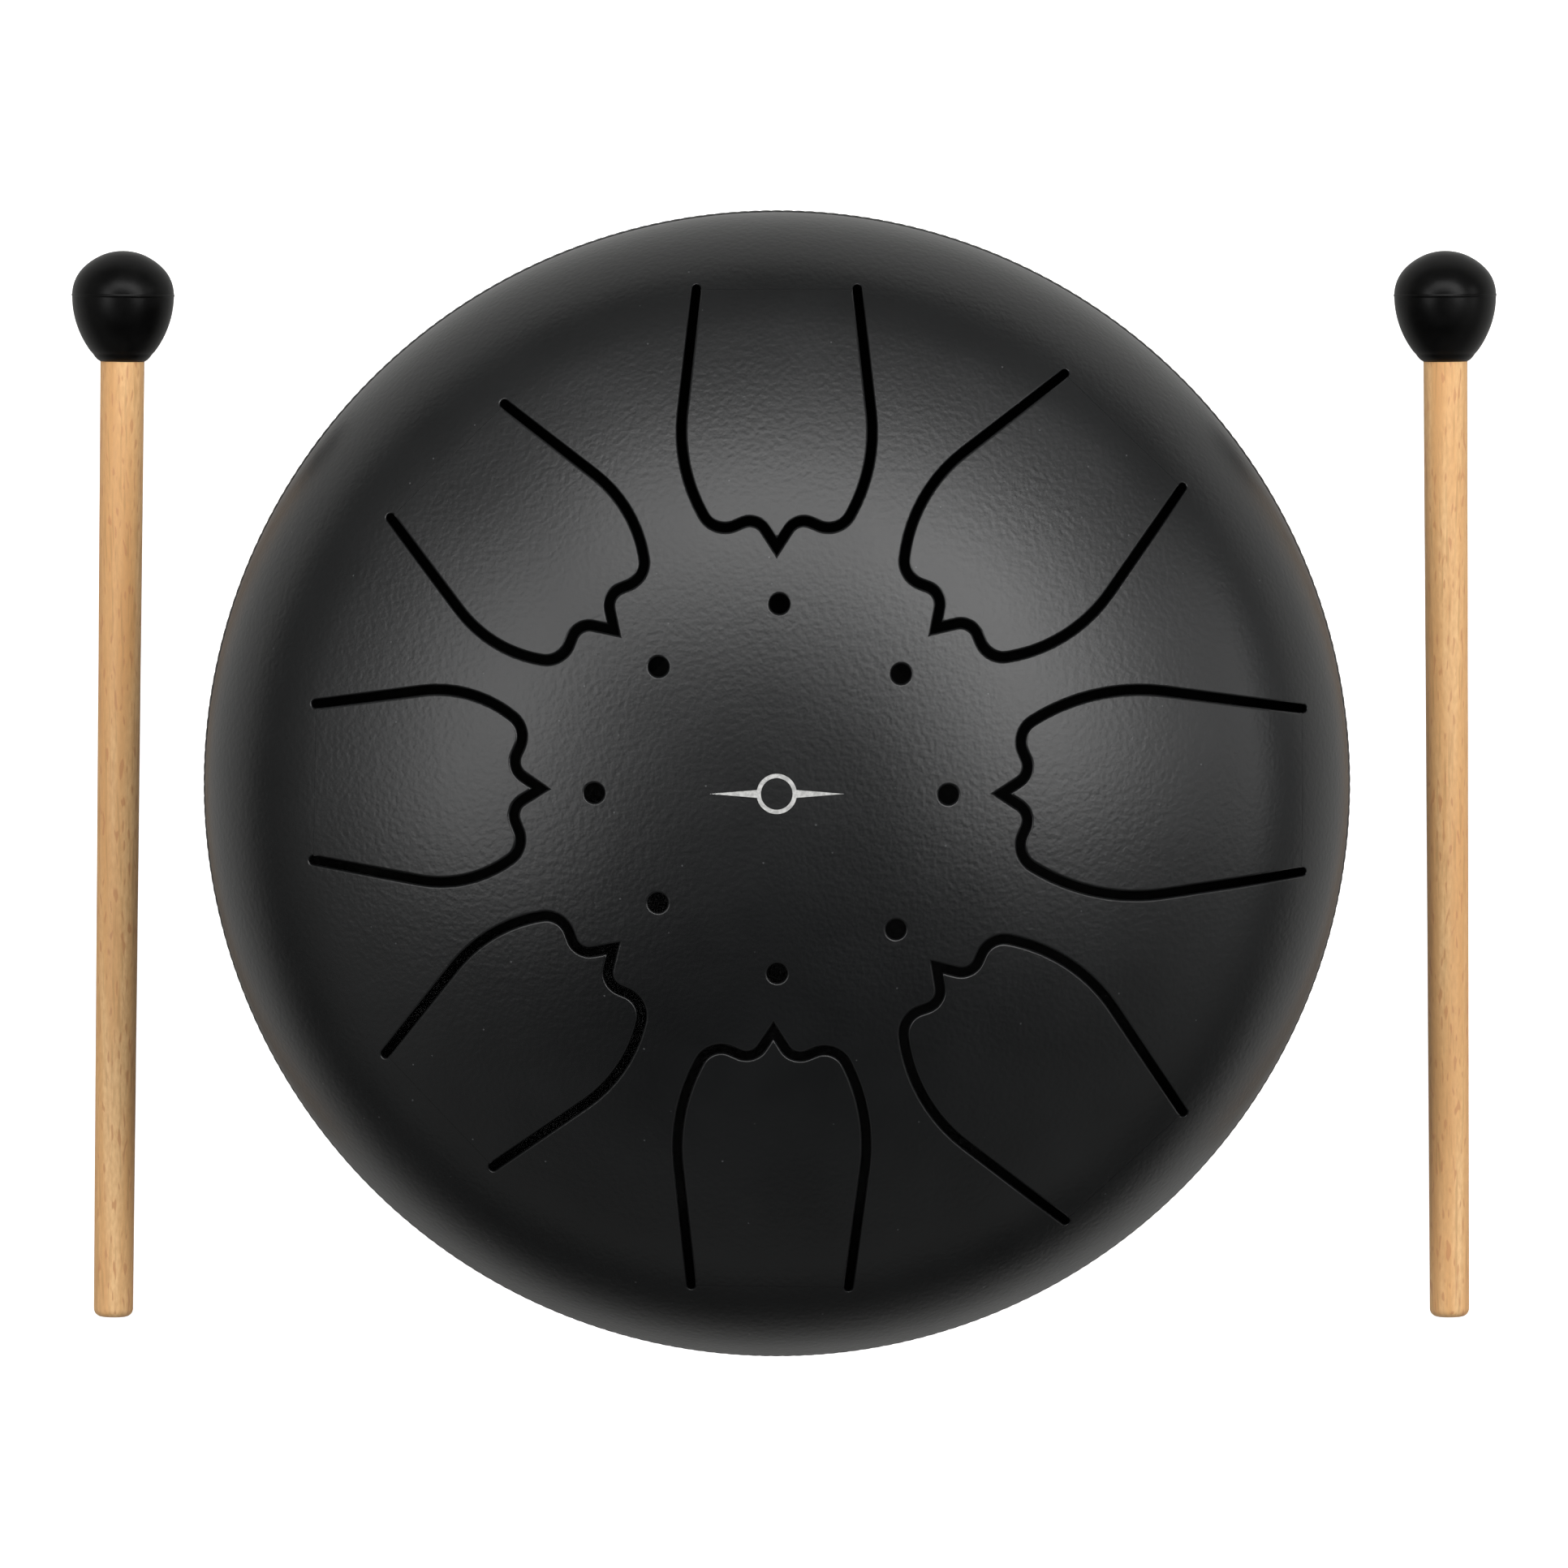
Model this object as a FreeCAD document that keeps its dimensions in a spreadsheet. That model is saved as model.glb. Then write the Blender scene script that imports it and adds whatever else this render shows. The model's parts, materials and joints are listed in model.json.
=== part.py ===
# Small steel tongue drum with eight petal tongues, and its pair of rubber-headed mallets.
# Millimetres, +Z up. The origin is on the drum's axis, in the plane that its feet stand on.
import FreeCAD, Part
import math
import os

import Sketcher
from FreeCAD import Placement, Rotation, Vector

# Driving sizes: name, value, what it is
sizes = [
    ("shell_radius", 75.9, "outside of the two shells at the seam"),
    ("sheet", 1.5, "steel sheet"),
    ("ground_gap", 3.6, "under the middle of the bottom"),
    ("band", 1.5, "upright band of each shell beside the seam"),
    ("upper_shoulder", 30, "outer radius of the upper shell's shoulder"),
    ("upper_cap", 125, "outer radius of the dome"),
    ("lower_shoulder", 26, "outer radius of the lower shell's shoulder"),
    ("lower_cap", 172, "outer radius of the bottom"),
    ("weld_width", 2.4, "weld bead along the seam"),
    ("weld_rise", 0.3, "how far the ground bead stands out"),
    ("slot_width", 1.15, "laser-cut slot round each tongue"),
    ("root_gap", 0.05, "split between a tongue and the shell at its root"),
    ("tip_angle", 33, "half angle of the point at a tongue's tip"),
    ("crest_spread", 3.5, "from the tongue's centreline to the crest beside the point"),
    ("crest_radius", 2.4, "slot centreline round the crest"),
    ("lobe_depth", 2.5, "from the slot's tip to the bottom of the lobe"),
    ("lobe_spread", 6.7, "from the tongue's centreline to the middle of the lobe"),
    ("lobe_radius", 3.2, "slot centreline round the lobe"),
    ("belly_share", 0.45, "place of the widest point, from tip 0 to root 1"),
    ("tongue_sector", 30, "half of the sector each tongue is cut from, degrees"),
    ("note_hole", 2.6, "diameter of the hole inside each tongue's tip"),
    ("sound_hole", 44, "diameter of the opening in the bottom"),
    ("foot_circle", 46, "from the drum's axis to each foot's axis"),
    ("foot_radius", 7.5, "rubber foot"),
    ("foot_round", 1.5, "rounded lower edge of a foot"),
    ("foot_stem", 3, "radius of the stem pushed through the shell"),
    ("foot_bulb", 4.2, "radius of the head that holds the stem"),
    ("bulb_height", 3.5, "height of that head"),
    ("bulb_taper", 14, "slope of its flank, degrees"),
    ("stem_gap", 0.05, "stem in its hole"),
    ("bulb_gap", 1.3, "under the bulb, at the foot's axis"),
    ("mark_ring", 2.6, "outer radius of the printed ring"),
    ("mark_line", 0.55, "line of the ring"),
    ("mark_reach", 8.7, "from the centre to the end of each wing"),
    ("mark_wing", 0.5, "half height of a wing where it meets the ring"),
    ("mark_thick", 0.08, "printed ink"),
    ("mallet_length", 145.2, "whole mallet"),
    ("head_length", 15, "rubber head"),
    ("head_radius", 7, "rubber head at its widest"),
    ("nose_flat", 0.7, "how much flatter than the head's radius its striking end is"),
    ("side_inset", 1.7, "how much tighter than the head's radius its sides are"),
    ("collar_lip", 0.25, "rubber round the handle where it enters the head"),
    ("bore_depth", 11, "handle inside the head"),
    ("handle_radius", 3, "handle at the head"),
    ("tail_radius", 2.7, "handle at its free end"),
    ("tail_round", 1.1, "rounded free end"),
    ("bore_gap", 0.03, "handle in the head's bore"),
    ("left_gap", 14.64, "left mallet's free end, from the shells to its axis"),
    ("left_lean", -0.75, "left mallet, from straight, degrees"),
    ("right_gap", 15.82, "right mallet's free end, from the shells to its axis"),
    ("right_lean", 0.45, "right mallet, from straight, degrees"),
    ("mallet_start", -73.74, "both free ends, along"),
]

# Each tongue: direction, slot centreline at the tip and the root from the drum's axis, half width
# at the root and at the belly, then the direction and distance of its note hole
tongues = [
    (359.8, 29.1, 68.9, 10.7, 13.4, 359.6, 22.2),
    (46.0, 29.6, 65.2, 10.7, 13.4, 43.9, 22.3),
    (90.0, 31.8, 65.4, 10.5, 12.4, 89.2, 24.5),
    (135.0, 29.8, 60.7, 10.5, 12.6, 133.0, 22.4),
    (179.0, 30.6, 60.3, 10.2, 12.5, 179.9, 23.6),
    (223.5, 29.2, 60.8, 10.2, 12.5, 222.6, 20.9),
    (269.2, 30.8, 65.1, 10.3, 12.3, 270.1, 23.3),
    (312.6, 30.6, 67.3, 10.5, 13.4, 311.2, 23.4),
]
tongueFields = ("angle", "tip", "root", "foot", "belly", "hole_angle", "hole_place")
footAngles = (45, 135, 225, 315)

doc = FreeCAD.newDocument("TongueDrum")
sheet = doc.addObject("Spreadsheet::Sheet", "Sizes")
for number, tongue in enumerate(tongues, 1):
    for field, value in zip(tongueFields, tongue):
        sizes.append((f"tongue{number}_{field}", value, "tongue {} {}".format(number, field.replace("_", " "))))
for row, (alias, value, note) in enumerate(sizes, 1):
    sheet.set(f"A{row}", note)
    sheet.set(f"B{row}", str(value))
    sheet.setAlias(f"B{row}", alias)
doc.recompute()

parts = []


def size(formula):
    """A formula of the sheet's aliases as a number."""
    value = sheet.evalExpression(formula)
    return float(getattr(value, "Value", value))


def bound(formula):
    """The same formula as another object writes it, with the sheet's name before each alias."""
    words = []
    word = ""
    for letter in formula + " ":
        if letter.isalnum() or letter == "_":
            word += letter
            continue
        if word and sheet.getCellFromAlias(word):
            word = "Sizes." + word
        words.append(word + letter)
        word = ""
    return "".join(words).strip()


def newBody(label):
    body = doc.addObject("PartDesign::Body", label)
    body.Label = label
    parts.append(body)
    return body


def newSketch(body, name, role, turn=None):
    """A sketch on one of the body's own planes, turned about the plane's normal."""
    sketch = body.newObject("Sketcher::SketchObject", name)
    plane = next(item for item in body.Origin.OriginFeatures if item.Role == role)
    sketch.AttachmentSupport = (plane, "")
    sketch.MapMode = "FlatFace"
    if turn:
        sketch.setExpression("AttachmentOffset.Rotation.Angle", bound(turn))
    return sketch


def line(sketch, start, end):
    return sketch.addGeometry(Part.LineSegment(Vector(*start), Vector(*end)), False)


def arc(sketch, centre, radius, first, last):
    """An arc from one direction to another, in degrees, counter-clockwise."""
    circle = Part.Circle(Vector(*centre), Vector(0, 0, 1), radius)
    return sketch.addGeometry(Part.ArcOfCircle(circle, math.radians(first), math.radians(last)), False)


def tie(sketch, kind, *joined):
    for ends in joined:
        sketch.addConstraint(Sketcher.Constraint(kind, *ends))


def dimension(sketch, kind, places, formula):
    index = sketch.addConstraint(Sketcher.Constraint(kind, *places, size(formula)))
    sketch.setExpression(f"Constraints[{index}]", bound(formula))


def revolve(body, sketch, name, turn="360"):
    feature = body.newObject("PartDesign::Revolution", name)
    feature.Profile = sketch
    feature.ReferenceAxis = (sketch, ["V_Axis"])
    feature.setExpression("Angle", bound(turn))
    return feature


def cutThrough(body, sketch, name):
    pocket = body.newObject("PartDesign::Pocket", name)
    pocket.Profile = sketch
    pocket.Type = "ThroughAll"
    pocket.Midplane = True
    return pocket


def mirror(body, features, plane, name):
    copy = body.newObject("PartDesign::Mirrored", name)
    copy.Originals = features
    copy.MirrorPlane = plane
    body.Tip = copy
    return copy


# ---- shells: an upright band at the seam, a round shoulder and a spherical cap

def capCentre(side):
    """Height of the cap's centre, from the seam, as a formula; the shoulder and cap are tangent."""
    name = "upper" if side > 0 else "lower"
    reach = f"sqrt(({name}_cap - {name}_shoulder)^2 - (shell_radius - {name}_shoulder)^2)"
    return f"(band - {reach})"


seamHeight = f"(ground_gap + lower_cap + {capCentre(-1)})"


def wallProfile(sketch, side):
    """Half section of a shell's sheet, above the seam for side 1 and below it for side -1."""
    name = "upper" if side > 0 else "lower"
    radius = size("shell_radius")
    thick = size("sheet")
    seam = size(seamHeight)
    shoulder = size(f"{name}_shoulder")
    cap = size(f"{name}_cap")
    bandEnd = seam + side * size("band")
    capHeight = seam + side * size(capCentre(side))
    turn = math.degrees(math.atan2(size("band") - size(capCentre(side)), radius - shoulder))
    shoulderAngles = (0, turn) if side > 0 else (-turn, 0)
    capAngles = (turn, 90) if side > 0 else (-90, -turn)
    shoulderPlace = (radius - shoulder, bandEnd, 0)
    capPlace = (0, capHeight, 0)
    outerBand = line(sketch, (radius, seam, 0), (radius, bandEnd, 0))
    outerShoulder = arc(sketch, shoulderPlace, shoulder, *shoulderAngles)
    outerCap = arc(sketch, capPlace, cap, *capAngles)
    crown = line(sketch, (0, capHeight + side * cap, 0), (0, capHeight + side * (cap - thick), 0))
    innerCap = arc(sketch, capPlace, cap - thick, *capAngles)
    innerShoulder = arc(sketch, shoulderPlace, shoulder - thick, *shoulderAngles)
    innerBand = line(sketch, (radius - thick, bandEnd, 0), (radius - thick, seam, 0))
    edge = line(sketch, (radius - thick, seam, 0), (radius, seam, 0))
    low, high = (1, 2) if side > 0 else (2, 1)      # an arc's ends, nearer the seam and farther
    tie(sketch, "Tangent",
        (outerBand, 2, outerShoulder, low), (outerShoulder, high, outerCap, low),
        (innerCap, low, innerShoulder, high), (innerShoulder, low, innerBand, 1))
    tie(sketch, "Coincident",
        (outerCap, high, crown, 1), (crown, 2, innerCap, high), (innerBand, 2, edge, 1),
        (edge, 2, outerBand, 1), (outerShoulder, 3, innerShoulder, 3), (outerCap, 3, innerCap, 3))
    tie(sketch, "PointOnObject", (crown, 1, -2), (crown, 2, -2), (outerCap, 3, -2))
    tie(sketch, "Horizontal", (edge,))
    tie(sketch, "Vertical", (outerBand,), (innerBand,))
    dimension(sketch, "DistanceX", (-1, 1, outerBand, 1), "shell_radius")
    dimension(sketch, "DistanceY", (-1, 1, outerBand, 1), seamHeight)
    if side > 0:
        dimension(sketch, "DistanceY", (outerBand, 1, outerBand, 2), "band")
    else:
        dimension(sketch, "DistanceY", (outerBand, 2, outerBand, 1), "band")
    dimension(sketch, "Radius", (outerShoulder,), f"{name}_shoulder")
    dimension(sketch, "Radius", (innerShoulder,), f"{name}_shoulder - sheet")
    dimension(sketch, "Radius", (outerCap,), f"{name}_cap")


# ---- tongues

def petalHalf(sketch, number, side):
    """Half of a petal outline beside +X, closed along the X axis.

    side is -1 for the tongue's own edge and 1 for the edge of the window it lies in; the slot is
    what is left between them. Point, crest, lobe, belly and flank all run tangent to each other.
    """
    own = f"tongue{number}_"
    shift = f"{side} * slot_width / 2"
    slope = "(crest_spread * cos(tip_angle) - crest_radius) / sin(tip_angle)"
    apex = f"{own}tip - {shift} / sin(tip_angle)"
    crestAlong = f"{own}tip + {slope}"
    lobeAlong = f"{own}tip + lobe_depth + lobe_radius"
    bellyAlong = f"{own}tip + belly_share * ({own}root - {own}tip)"
    rise = f"({own}belly - lobe_spread)"
    bellyRound = (f"((({bellyAlong}) - ({lobeAlong}))^2 + {rise}^2 - lobe_radius^2)"
                  f" / (2 * ({rise} - lobe_radius))")
    root = f"{own}root" if side > 0 else f"{own}root - root_gap"

    angle = math.radians(size("tip_angle"))
    along = Vector(math.cos(angle), math.sin(angle), 0)
    away = Vector(math.sin(angle), -math.cos(angle), 0)
    point = Vector(size(apex), 0, 0)
    crestPlace = Vector(size(crestAlong), size("crest_spread"), 0)
    crestSize = size(f"crest_radius - {shift}")
    lobePlace = Vector(size(lobeAlong), size("lobe_spread"), 0)
    lobeSize = size(f"lobe_radius + {shift}")
    bellyPlace = Vector(size(bellyAlong), size(f"{own}belly") - size(bellyRound), 0)
    bellySize = size(bellyRound) + size(shift)
    flankEnd = Vector(size(root), size(f"{own}foot + {shift}"), 0)
    rootEnd = Vector(size(root), 0, 0)

    between = lobePlace - crestPlace
    slopeAngle = math.atan2(between.y, between.x) - math.acos((crestSize + lobeSize) / between.Length)
    slopeNormal = Vector(math.cos(slopeAngle), math.sin(slopeAngle), 0)
    lobeTurn = math.atan2(lobePlace.y - bellyPlace.y, lobePlace.x - bellyPlace.x)
    reach = flankEnd - bellyPlace
    flankTurn = math.atan2(reach.y, reach.x) + math.acos(bellySize / reach.Length)
    flankStart = bellyPlace + Vector(math.cos(flankTurn), math.sin(flankTurn), 0) * bellySize

    tip = line(sketch, point, point + along * (crestPlace - point).dot(along))
    crest = arc(sketch, crestPlace, crestSize, math.degrees(angle) - 90, math.degrees(slopeAngle))
    saddle = line(sketch, crestPlace + slopeNormal * crestSize, lobePlace - slopeNormal * lobeSize)
    lobe = arc(sketch, lobePlace, lobeSize, math.degrees(lobeTurn), math.degrees(slopeAngle) + 180)
    belly = arc(sketch, bellyPlace, bellySize, math.degrees(flankTurn), math.degrees(lobeTurn))
    flank = line(sketch, flankStart, flankEnd)
    tie(sketch, "Tangent", (tip, 2, crest, 1), (crest, 2, saddle, 1), (saddle, 2, lobe, 2),
        (lobe, 1, belly, 2), (belly, 1, flank, 1))
    if side > 0:
        # a round end to the slot, just past the root
        half = size("slot_width / 2")
        slotEnd = arc(sketch, flankEnd - Vector(0, half, 0), half, -90, 90)
        rootLine = line(sketch, flankEnd - Vector(0, 2 * half, 0), rootEnd)
        tie(sketch, "Coincident", (flank, 2, slotEnd, 2), (slotEnd, 1, rootLine, 1))
        tie(sketch, "Vertical", (slotEnd, 3, slotEnd, 1), (slotEnd, 3, slotEnd, 2))
        dimension(sketch, "Radius", (slotEnd,), "slot_width / 2")
        dimension(sketch, "DistanceY", (-1, 1, slotEnd, 3), f"{own}foot")
    else:
        rootLine = line(sketch, flankEnd, rootEnd)
        tie(sketch, "Coincident", (flank, 2, rootLine, 1))
        dimension(sketch, "DistanceY", (-1, 1, flank, 2), f"{own}foot + {shift}")
    if side > 0:
        closing = [rootEnd, point]
    else:
        far = size("shell_radius")
        closing = [rootEnd, Vector(far, 0, 0), Vector(far, far, 0), Vector(0, far, 0), Vector(), point]
    previous = rootLine
    for start, end in zip(closing, closing[1:]):
        edge = line(sketch, start, end)
        tie(sketch, "Coincident", (previous, 2, edge, 1))
        if start.y == end.y == 0:
            tie(sketch, "PointOnObject", (edge, 2, -1))
        elif start.y == end.y:
            tie(sketch, "Horizontal", (edge,))
        elif start.x == end.x == 0:
            tie(sketch, "Coincident", (edge, 2, -1, 1))
            tie(sketch, "Vertical", (edge,))
        else:
            tie(sketch, "Vertical", (edge,))
            dimension(sketch, "DistanceX", (-1, 1, edge, 1), "shell_radius")
            dimension(sketch, "DistanceY", (-1, 1, edge, 2), "shell_radius")
        previous = edge
    tie(sketch, "Coincident", (previous, 2, tip, 1))
    tie(sketch, "PointOnObject", (rootLine, 2, -1))
    tie(sketch, "Vertical", (rootLine,))
    dimension(sketch, "DistanceX", (-1, 1, tip, 1), apex)
    dimension(sketch, "DistanceX", (-1, 1, rootLine, 2), root)
    dimension(sketch, "DistanceX", (-1, 1, crest, 3), crestAlong)
    dimension(sketch, "DistanceY", (-1, 1, crest, 3), "crest_spread")
    dimension(sketch, "Radius", (crest,), f"crest_radius - {shift}")
    dimension(sketch, "DistanceX", (-1, 1, lobe, 3), lobeAlong)
    dimension(sketch, "DistanceY", (-1, 1, lobe, 3), "lobe_spread")
    dimension(sketch, "Radius", (lobe,), f"lobe_radius + {shift}")
    dimension(sketch, "DistanceX", (-1, 1, belly, 3), bellyAlong)
    dimension(sketch, "Radius", (belly,), f"{bellyRound} + {shift}")


def tongue(number):
    """One tongue: half a petal of the dome's sheet, mirrored."""
    body = newBody(f"tongue_{number}")
    section = newSketch(body, f"TongueSection{number}", "XZ_Plane")
    wallProfile(section, 1)
    blank = revolve(body, section, f"TongueBlank{number}", "tongue_sector")
    outline = newSketch(body, f"TongueOutline{number}", "XY_Plane")
    petalHalf(outline, number, -1)
    trim = cutThrough(body, outline, f"TongueTrim{number}")
    plane = next(item for item in body.Origin.OriginFeatures if item.Role == "XZ_Plane")
    mirror(body, [blank, trim], (plane, [""]), f"TongueWhole{number}")
    body.setExpression("Placement.Rotation.Angle", bound(f"tongue{number}_angle"))


def circle(sketch, radius, place=""):
    """A full circle centred on the X axis, or at the origin where no place is given."""
    centre = Vector(size(place), 0, 0) if place else Vector()
    ring = sketch.addGeometry(Part.Circle(centre, Vector(0, 0, 1), size(radius)), False)
    if place:
        tie(sketch, "PointOnObject", (ring, 3, -1))
        dimension(sketch, "DistanceX", (-1, 1, ring, 3), place)
    else:
        tie(sketch, "Coincident", (ring, 3, -1, 1))
    dimension(sketch, "Radius", (ring,), radius)


def upperShell():
    body = newBody("upper_shell")
    section = newSketch(body, "UpperSection", "XZ_Plane")
    wallProfile(section, 1)
    revolve(body, section, "UpperSheet")
    for number in range(1, len(tongues) + 1):
        outline = newSketch(body, f"Window{number}", "XY_Plane", f"tongue{number}_angle")
        petalHalf(outline, number, 1)
        window = cutThrough(body, outline, f"WindowCut{number}")
        mirror(body, [window], (outline, ["H_Axis"]), f"WindowWhole{number}")
        spot = newSketch(body, f"NoteHole{number}", "XY_Plane", f"tongue{number}_hole_angle")
        circle(spot, "note_hole / 2", f"tongue{number}_hole_place")
        cutThrough(body, spot, f"NoteHoleCut{number}")


# ---- bottom, weld and feet

lowerCentre = "(ground_gap + lower_cap)"


def bottomHeight(radius, away):
    """Height of a sphere about the bottom cap's centre, at a distance from the drum's axis."""
    return f"({lowerCentre} - sqrt(({radius})^2 - ({away})^2))"


seatHeight = bottomHeight("lower_cap", "foot_circle")
insideHeight = bottomHeight("lower_cap - sheet", "foot_circle")


def lowerShell():
    body = newBody("lower_shell")
    section = newSketch(body, "LowerSection", "XZ_Plane")
    wallProfile(section, -1)
    revolve(body, section, "LowerSheet")
    opening = newSketch(body, "SoundHole", "XY_Plane")
    circle(opening, "sound_hole / 2")
    cutThrough(body, opening, "SoundHoleCut")
    for number, angle in enumerate(footAngles, 1):
        stemHole = newSketch(body, f"StemHole{number}", "XY_Plane", str(angle))
        circle(stemHole, "foot_stem + stem_gap", "foot_circle")
        cutThrough(body, stemHole, f"StemHoleCut{number}")


def seamWeld():
    """A low bead over the seam, ground back to a shallow arc."""
    body = newBody("seam_weld")
    section = newSketch(body, "WeldSection", "XZ_Plane")
    weldRound = "((weld_width / 2)^2 + weld_rise^2) / (2 * weld_rise)"
    half = size("weld_width / 2")
    inner = size("shell_radius")
    seam = size(seamHeight)
    turn = math.degrees(math.asin(half / size(weldRound)))
    back = line(section, (inner, seam + half, 0), (inner, seam - half, 0))
    face = arc(section, (inner + size("weld_rise") - size(weldRound), seam, 0), size(weldRound), -turn, turn)
    tie(section, "Coincident", (back, 2, face, 1), (face, 2, back, 1))
    tie(section, "Vertical", (back,))
    dimension(section, "DistanceX", (-1, 1, back, 1), "shell_radius")
    dimension(section, "DistanceY", (-1, 1, back, 2), f"{seamHeight} - weld_width / 2")
    dimension(section, "DistanceY", (back, 2, back, 1), "weld_width")
    dimension(section, "Radius", (face,), weldRound)
    revolve(body, section, "WeldBead")


def disc(body, name, radius, bottom, height, taper="0"):
    """A round pad on the foot's axis, from one height up."""
    sketch = newSketch(body, f"{name}Sketch", "XY_Plane")
    sketch.setExpression("AttachmentOffset.Base.z", bound(bottom))
    circle(sketch, radius, "foot_circle")
    pad = body.newObject("PartDesign::Pad", name)
    pad.Profile = sketch
    pad.setExpression("Length", bound(height))
    pad.setExpression("TaperAngle", bound(taper))
    return pad


def roundEdges(body, feature, radius, name, chosen):
    """Round the feature's edges that a test picks out."""
    doc.recompute()
    edges = [f"Edge{n}" for n, edge in enumerate(feature.Shape.Edges, 1) if chosen(edge)]
    fillet = body.newObject("PartDesign::Fillet", name)
    fillet.Base = (feature, edges)
    fillet.setExpression("Radius", bound(radius))
    return fillet


def foot(number, angle):
    """A rubber foot: a flat pad whose seat fits the bottom, and a stem with a bulb that holds it."""
    body = newBody(f"foot_{number}")
    blank = disc(body, f"FootBlank{number}", "foot_radius", "0", seamHeight)
    roundEdges(body, blank, "foot_round", f"FootEdge{number}", lambda edge: edge.BoundBox.ZMax < 0.001)
    seat = body.newObject("PartDesign::SubtractiveSphere", f"FootSeat{number}")
    seat.setExpression("Radius", bound("lower_cap"))
    seat.setExpression("Placement.Base.z", bound(lowerCentre))
    doc.recompute()
    stemHeight = f"{insideHeight} + bulb_gap - {seatHeight} + foot_stem + bulb_height / 2"
    disc(body, f"FootStem{number}", "foot_stem", f"{seatHeight} - foot_stem", stemHeight)
    disc(body, f"FootBulb{number}", "foot_bulb", f"{insideHeight} + bulb_gap", "bulb_height", "-bulb_taper")
    body.setExpression("Placement.Rotation.Angle", str(angle))


# ---- printed mark: a ring with a tapered wing on either side, following the dome

def centreMark():
    body = newBody("centre_mark")
    section = newSketch(body, "MarkSection", "XZ_Plane")
    centre = f"{seamHeight} + {capCentre(1)}"
    radius = size("upper_cap")
    ink = size("mark_thick")
    height = size(centre)
    spread = size("mark_reach + mark_ring")
    turn = math.degrees(math.acos(spread / radius))
    place = Vector(0, height, 0)
    reach = Vector(math.cos(math.radians(turn)), math.sin(math.radians(turn)), 0)
    under = arc(section, place, radius, turn, 90)
    over = arc(section, place, radius + ink, turn, 90)
    crown = line(section, place + Vector(0, radius, 0), place + Vector(0, radius + ink, 0))
    rim = line(section, place + reach * (radius + ink), place + reach * radius)
    tie(section, "Coincident", (under, 3, over, 3), (under, 2, crown, 1), (crown, 2, over, 2),
        (over, 1, rim, 1), (rim, 2, under, 1))
    tie(section, "PointOnObject", (under, 3, -2), (crown, 1, -2), (crown, 2, -2), (under, 3, rim))
    dimension(section, "DistanceY", (-1, 1, under, 3), centre)
    dimension(section, "Radius", (under,), "upper_cap")
    dimension(section, "Radius", (over,), "upper_cap + mark_thick")
    dimension(section, "DistanceX", (-1, 1, under, 1), "mark_reach + mark_ring")
    revolve(body, section, "MarkInk")

    outline = newSketch(body, "MarkOutline", "XY_Plane")
    ring = size("mark_ring")
    wing = size("mark_wing")
    tip = size("mark_reach")
    join = math.degrees(math.asin(wing / ring))
    root = math.sqrt(ring ** 2 - wing ** 2)
    top = arc(outline, (0, 0, 0), ring, join, 180 - join)
    bottom = arc(outline, (0, 0, 0), ring, 180 + join, 360 - join)
    edges = [line(outline, (tip, 0, 0), (root, wing, 0)), line(outline, (-root, wing, 0), (-tip, 0, 0)),
             line(outline, (-tip, 0, 0), (-root, -wing, 0)), line(outline, (root, -wing, 0), (tip, 0, 0))]
    tie(outline, "Coincident", (edges[0], 2, top, 1), (top, 2, edges[1], 1), (edges[1], 2, edges[2], 1),
        (edges[2], 2, bottom, 1), (bottom, 2, edges[3], 1), (edges[3], 2, edges[0], 1),
        (top, 3, -1, 1), (bottom, 3, -1, 1))
    tie(outline, "PointOnObject", (edges[0], 1, -1), (edges[1], 2, -1))
    for curve in (top, bottom):
        dimension(outline, "Radius", (curve,), "mark_ring")
    for end in (1, 2):
        dimension(outline, "DistanceY", (-1, 1, top, end), "mark_wing")
        dimension(outline, "DistanceY", (bottom, end, -1, 1), "mark_wing")
    dimension(outline, "DistanceX", (-1, 1, edges[0], 1), "mark_reach")
    dimension(outline, "DistanceX", (edges[1], 2, -1, 1), "mark_reach")
    circle(outline, "mark_reach + 2 * mark_ring")
    cutThrough(body, outline, "MarkTrim")
    middle = newSketch(body, "MarkMiddle", "XY_Plane")
    circle(middle, "mark_ring - mark_line")
    cutThrough(body, middle, "MarkRing")


# ---- mallets, each drawn along +Y from its free end

headBase = "(mallet_length - head_length)"
noseRadius = "(head_radius + nose_flat)"
sideRadius = "(head_radius - side_inset)"
headWidest = f"(mallet_length - {noseRadius} + sqrt((nose_flat + side_inset)^2 - side_inset^2))"
collarRadius = "(handle_radius + collar_lip)"
neckDrop = f"(head_radius - {collarRadius})"
neckRadius = f"((({headWidest} - {headBase})^2 + {neckDrop}^2) / (2 * {neckDrop}))"


def malletPlace(side):
    """Both ends rest on the ground: the head at its widest, the handle on its rounded end."""
    along = size(headWidest) - size("tail_round")
    drop = size("side_inset - tail_radius + tail_round")
    tilt = math.atan2(drop, along) + math.asin(size(f"{sideRadius} - tail_round") / math.hypot(along, drop))
    height = (size("tail_radius - tail_round") * math.cos(tilt) + size("tail_round")
              - size("tail_round") * math.sin(tilt))
    turn = Rotation(Vector(0, 0, 1), size(f"{side}_lean")) * Rotation(Vector(1, 0, 0), math.degrees(tilt))
    across = size(f"shell_radius + {side}_gap") * (1 if side == "right" else -1)
    return Placement(Vector(across, size("mallet_start"), height), turn)


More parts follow.
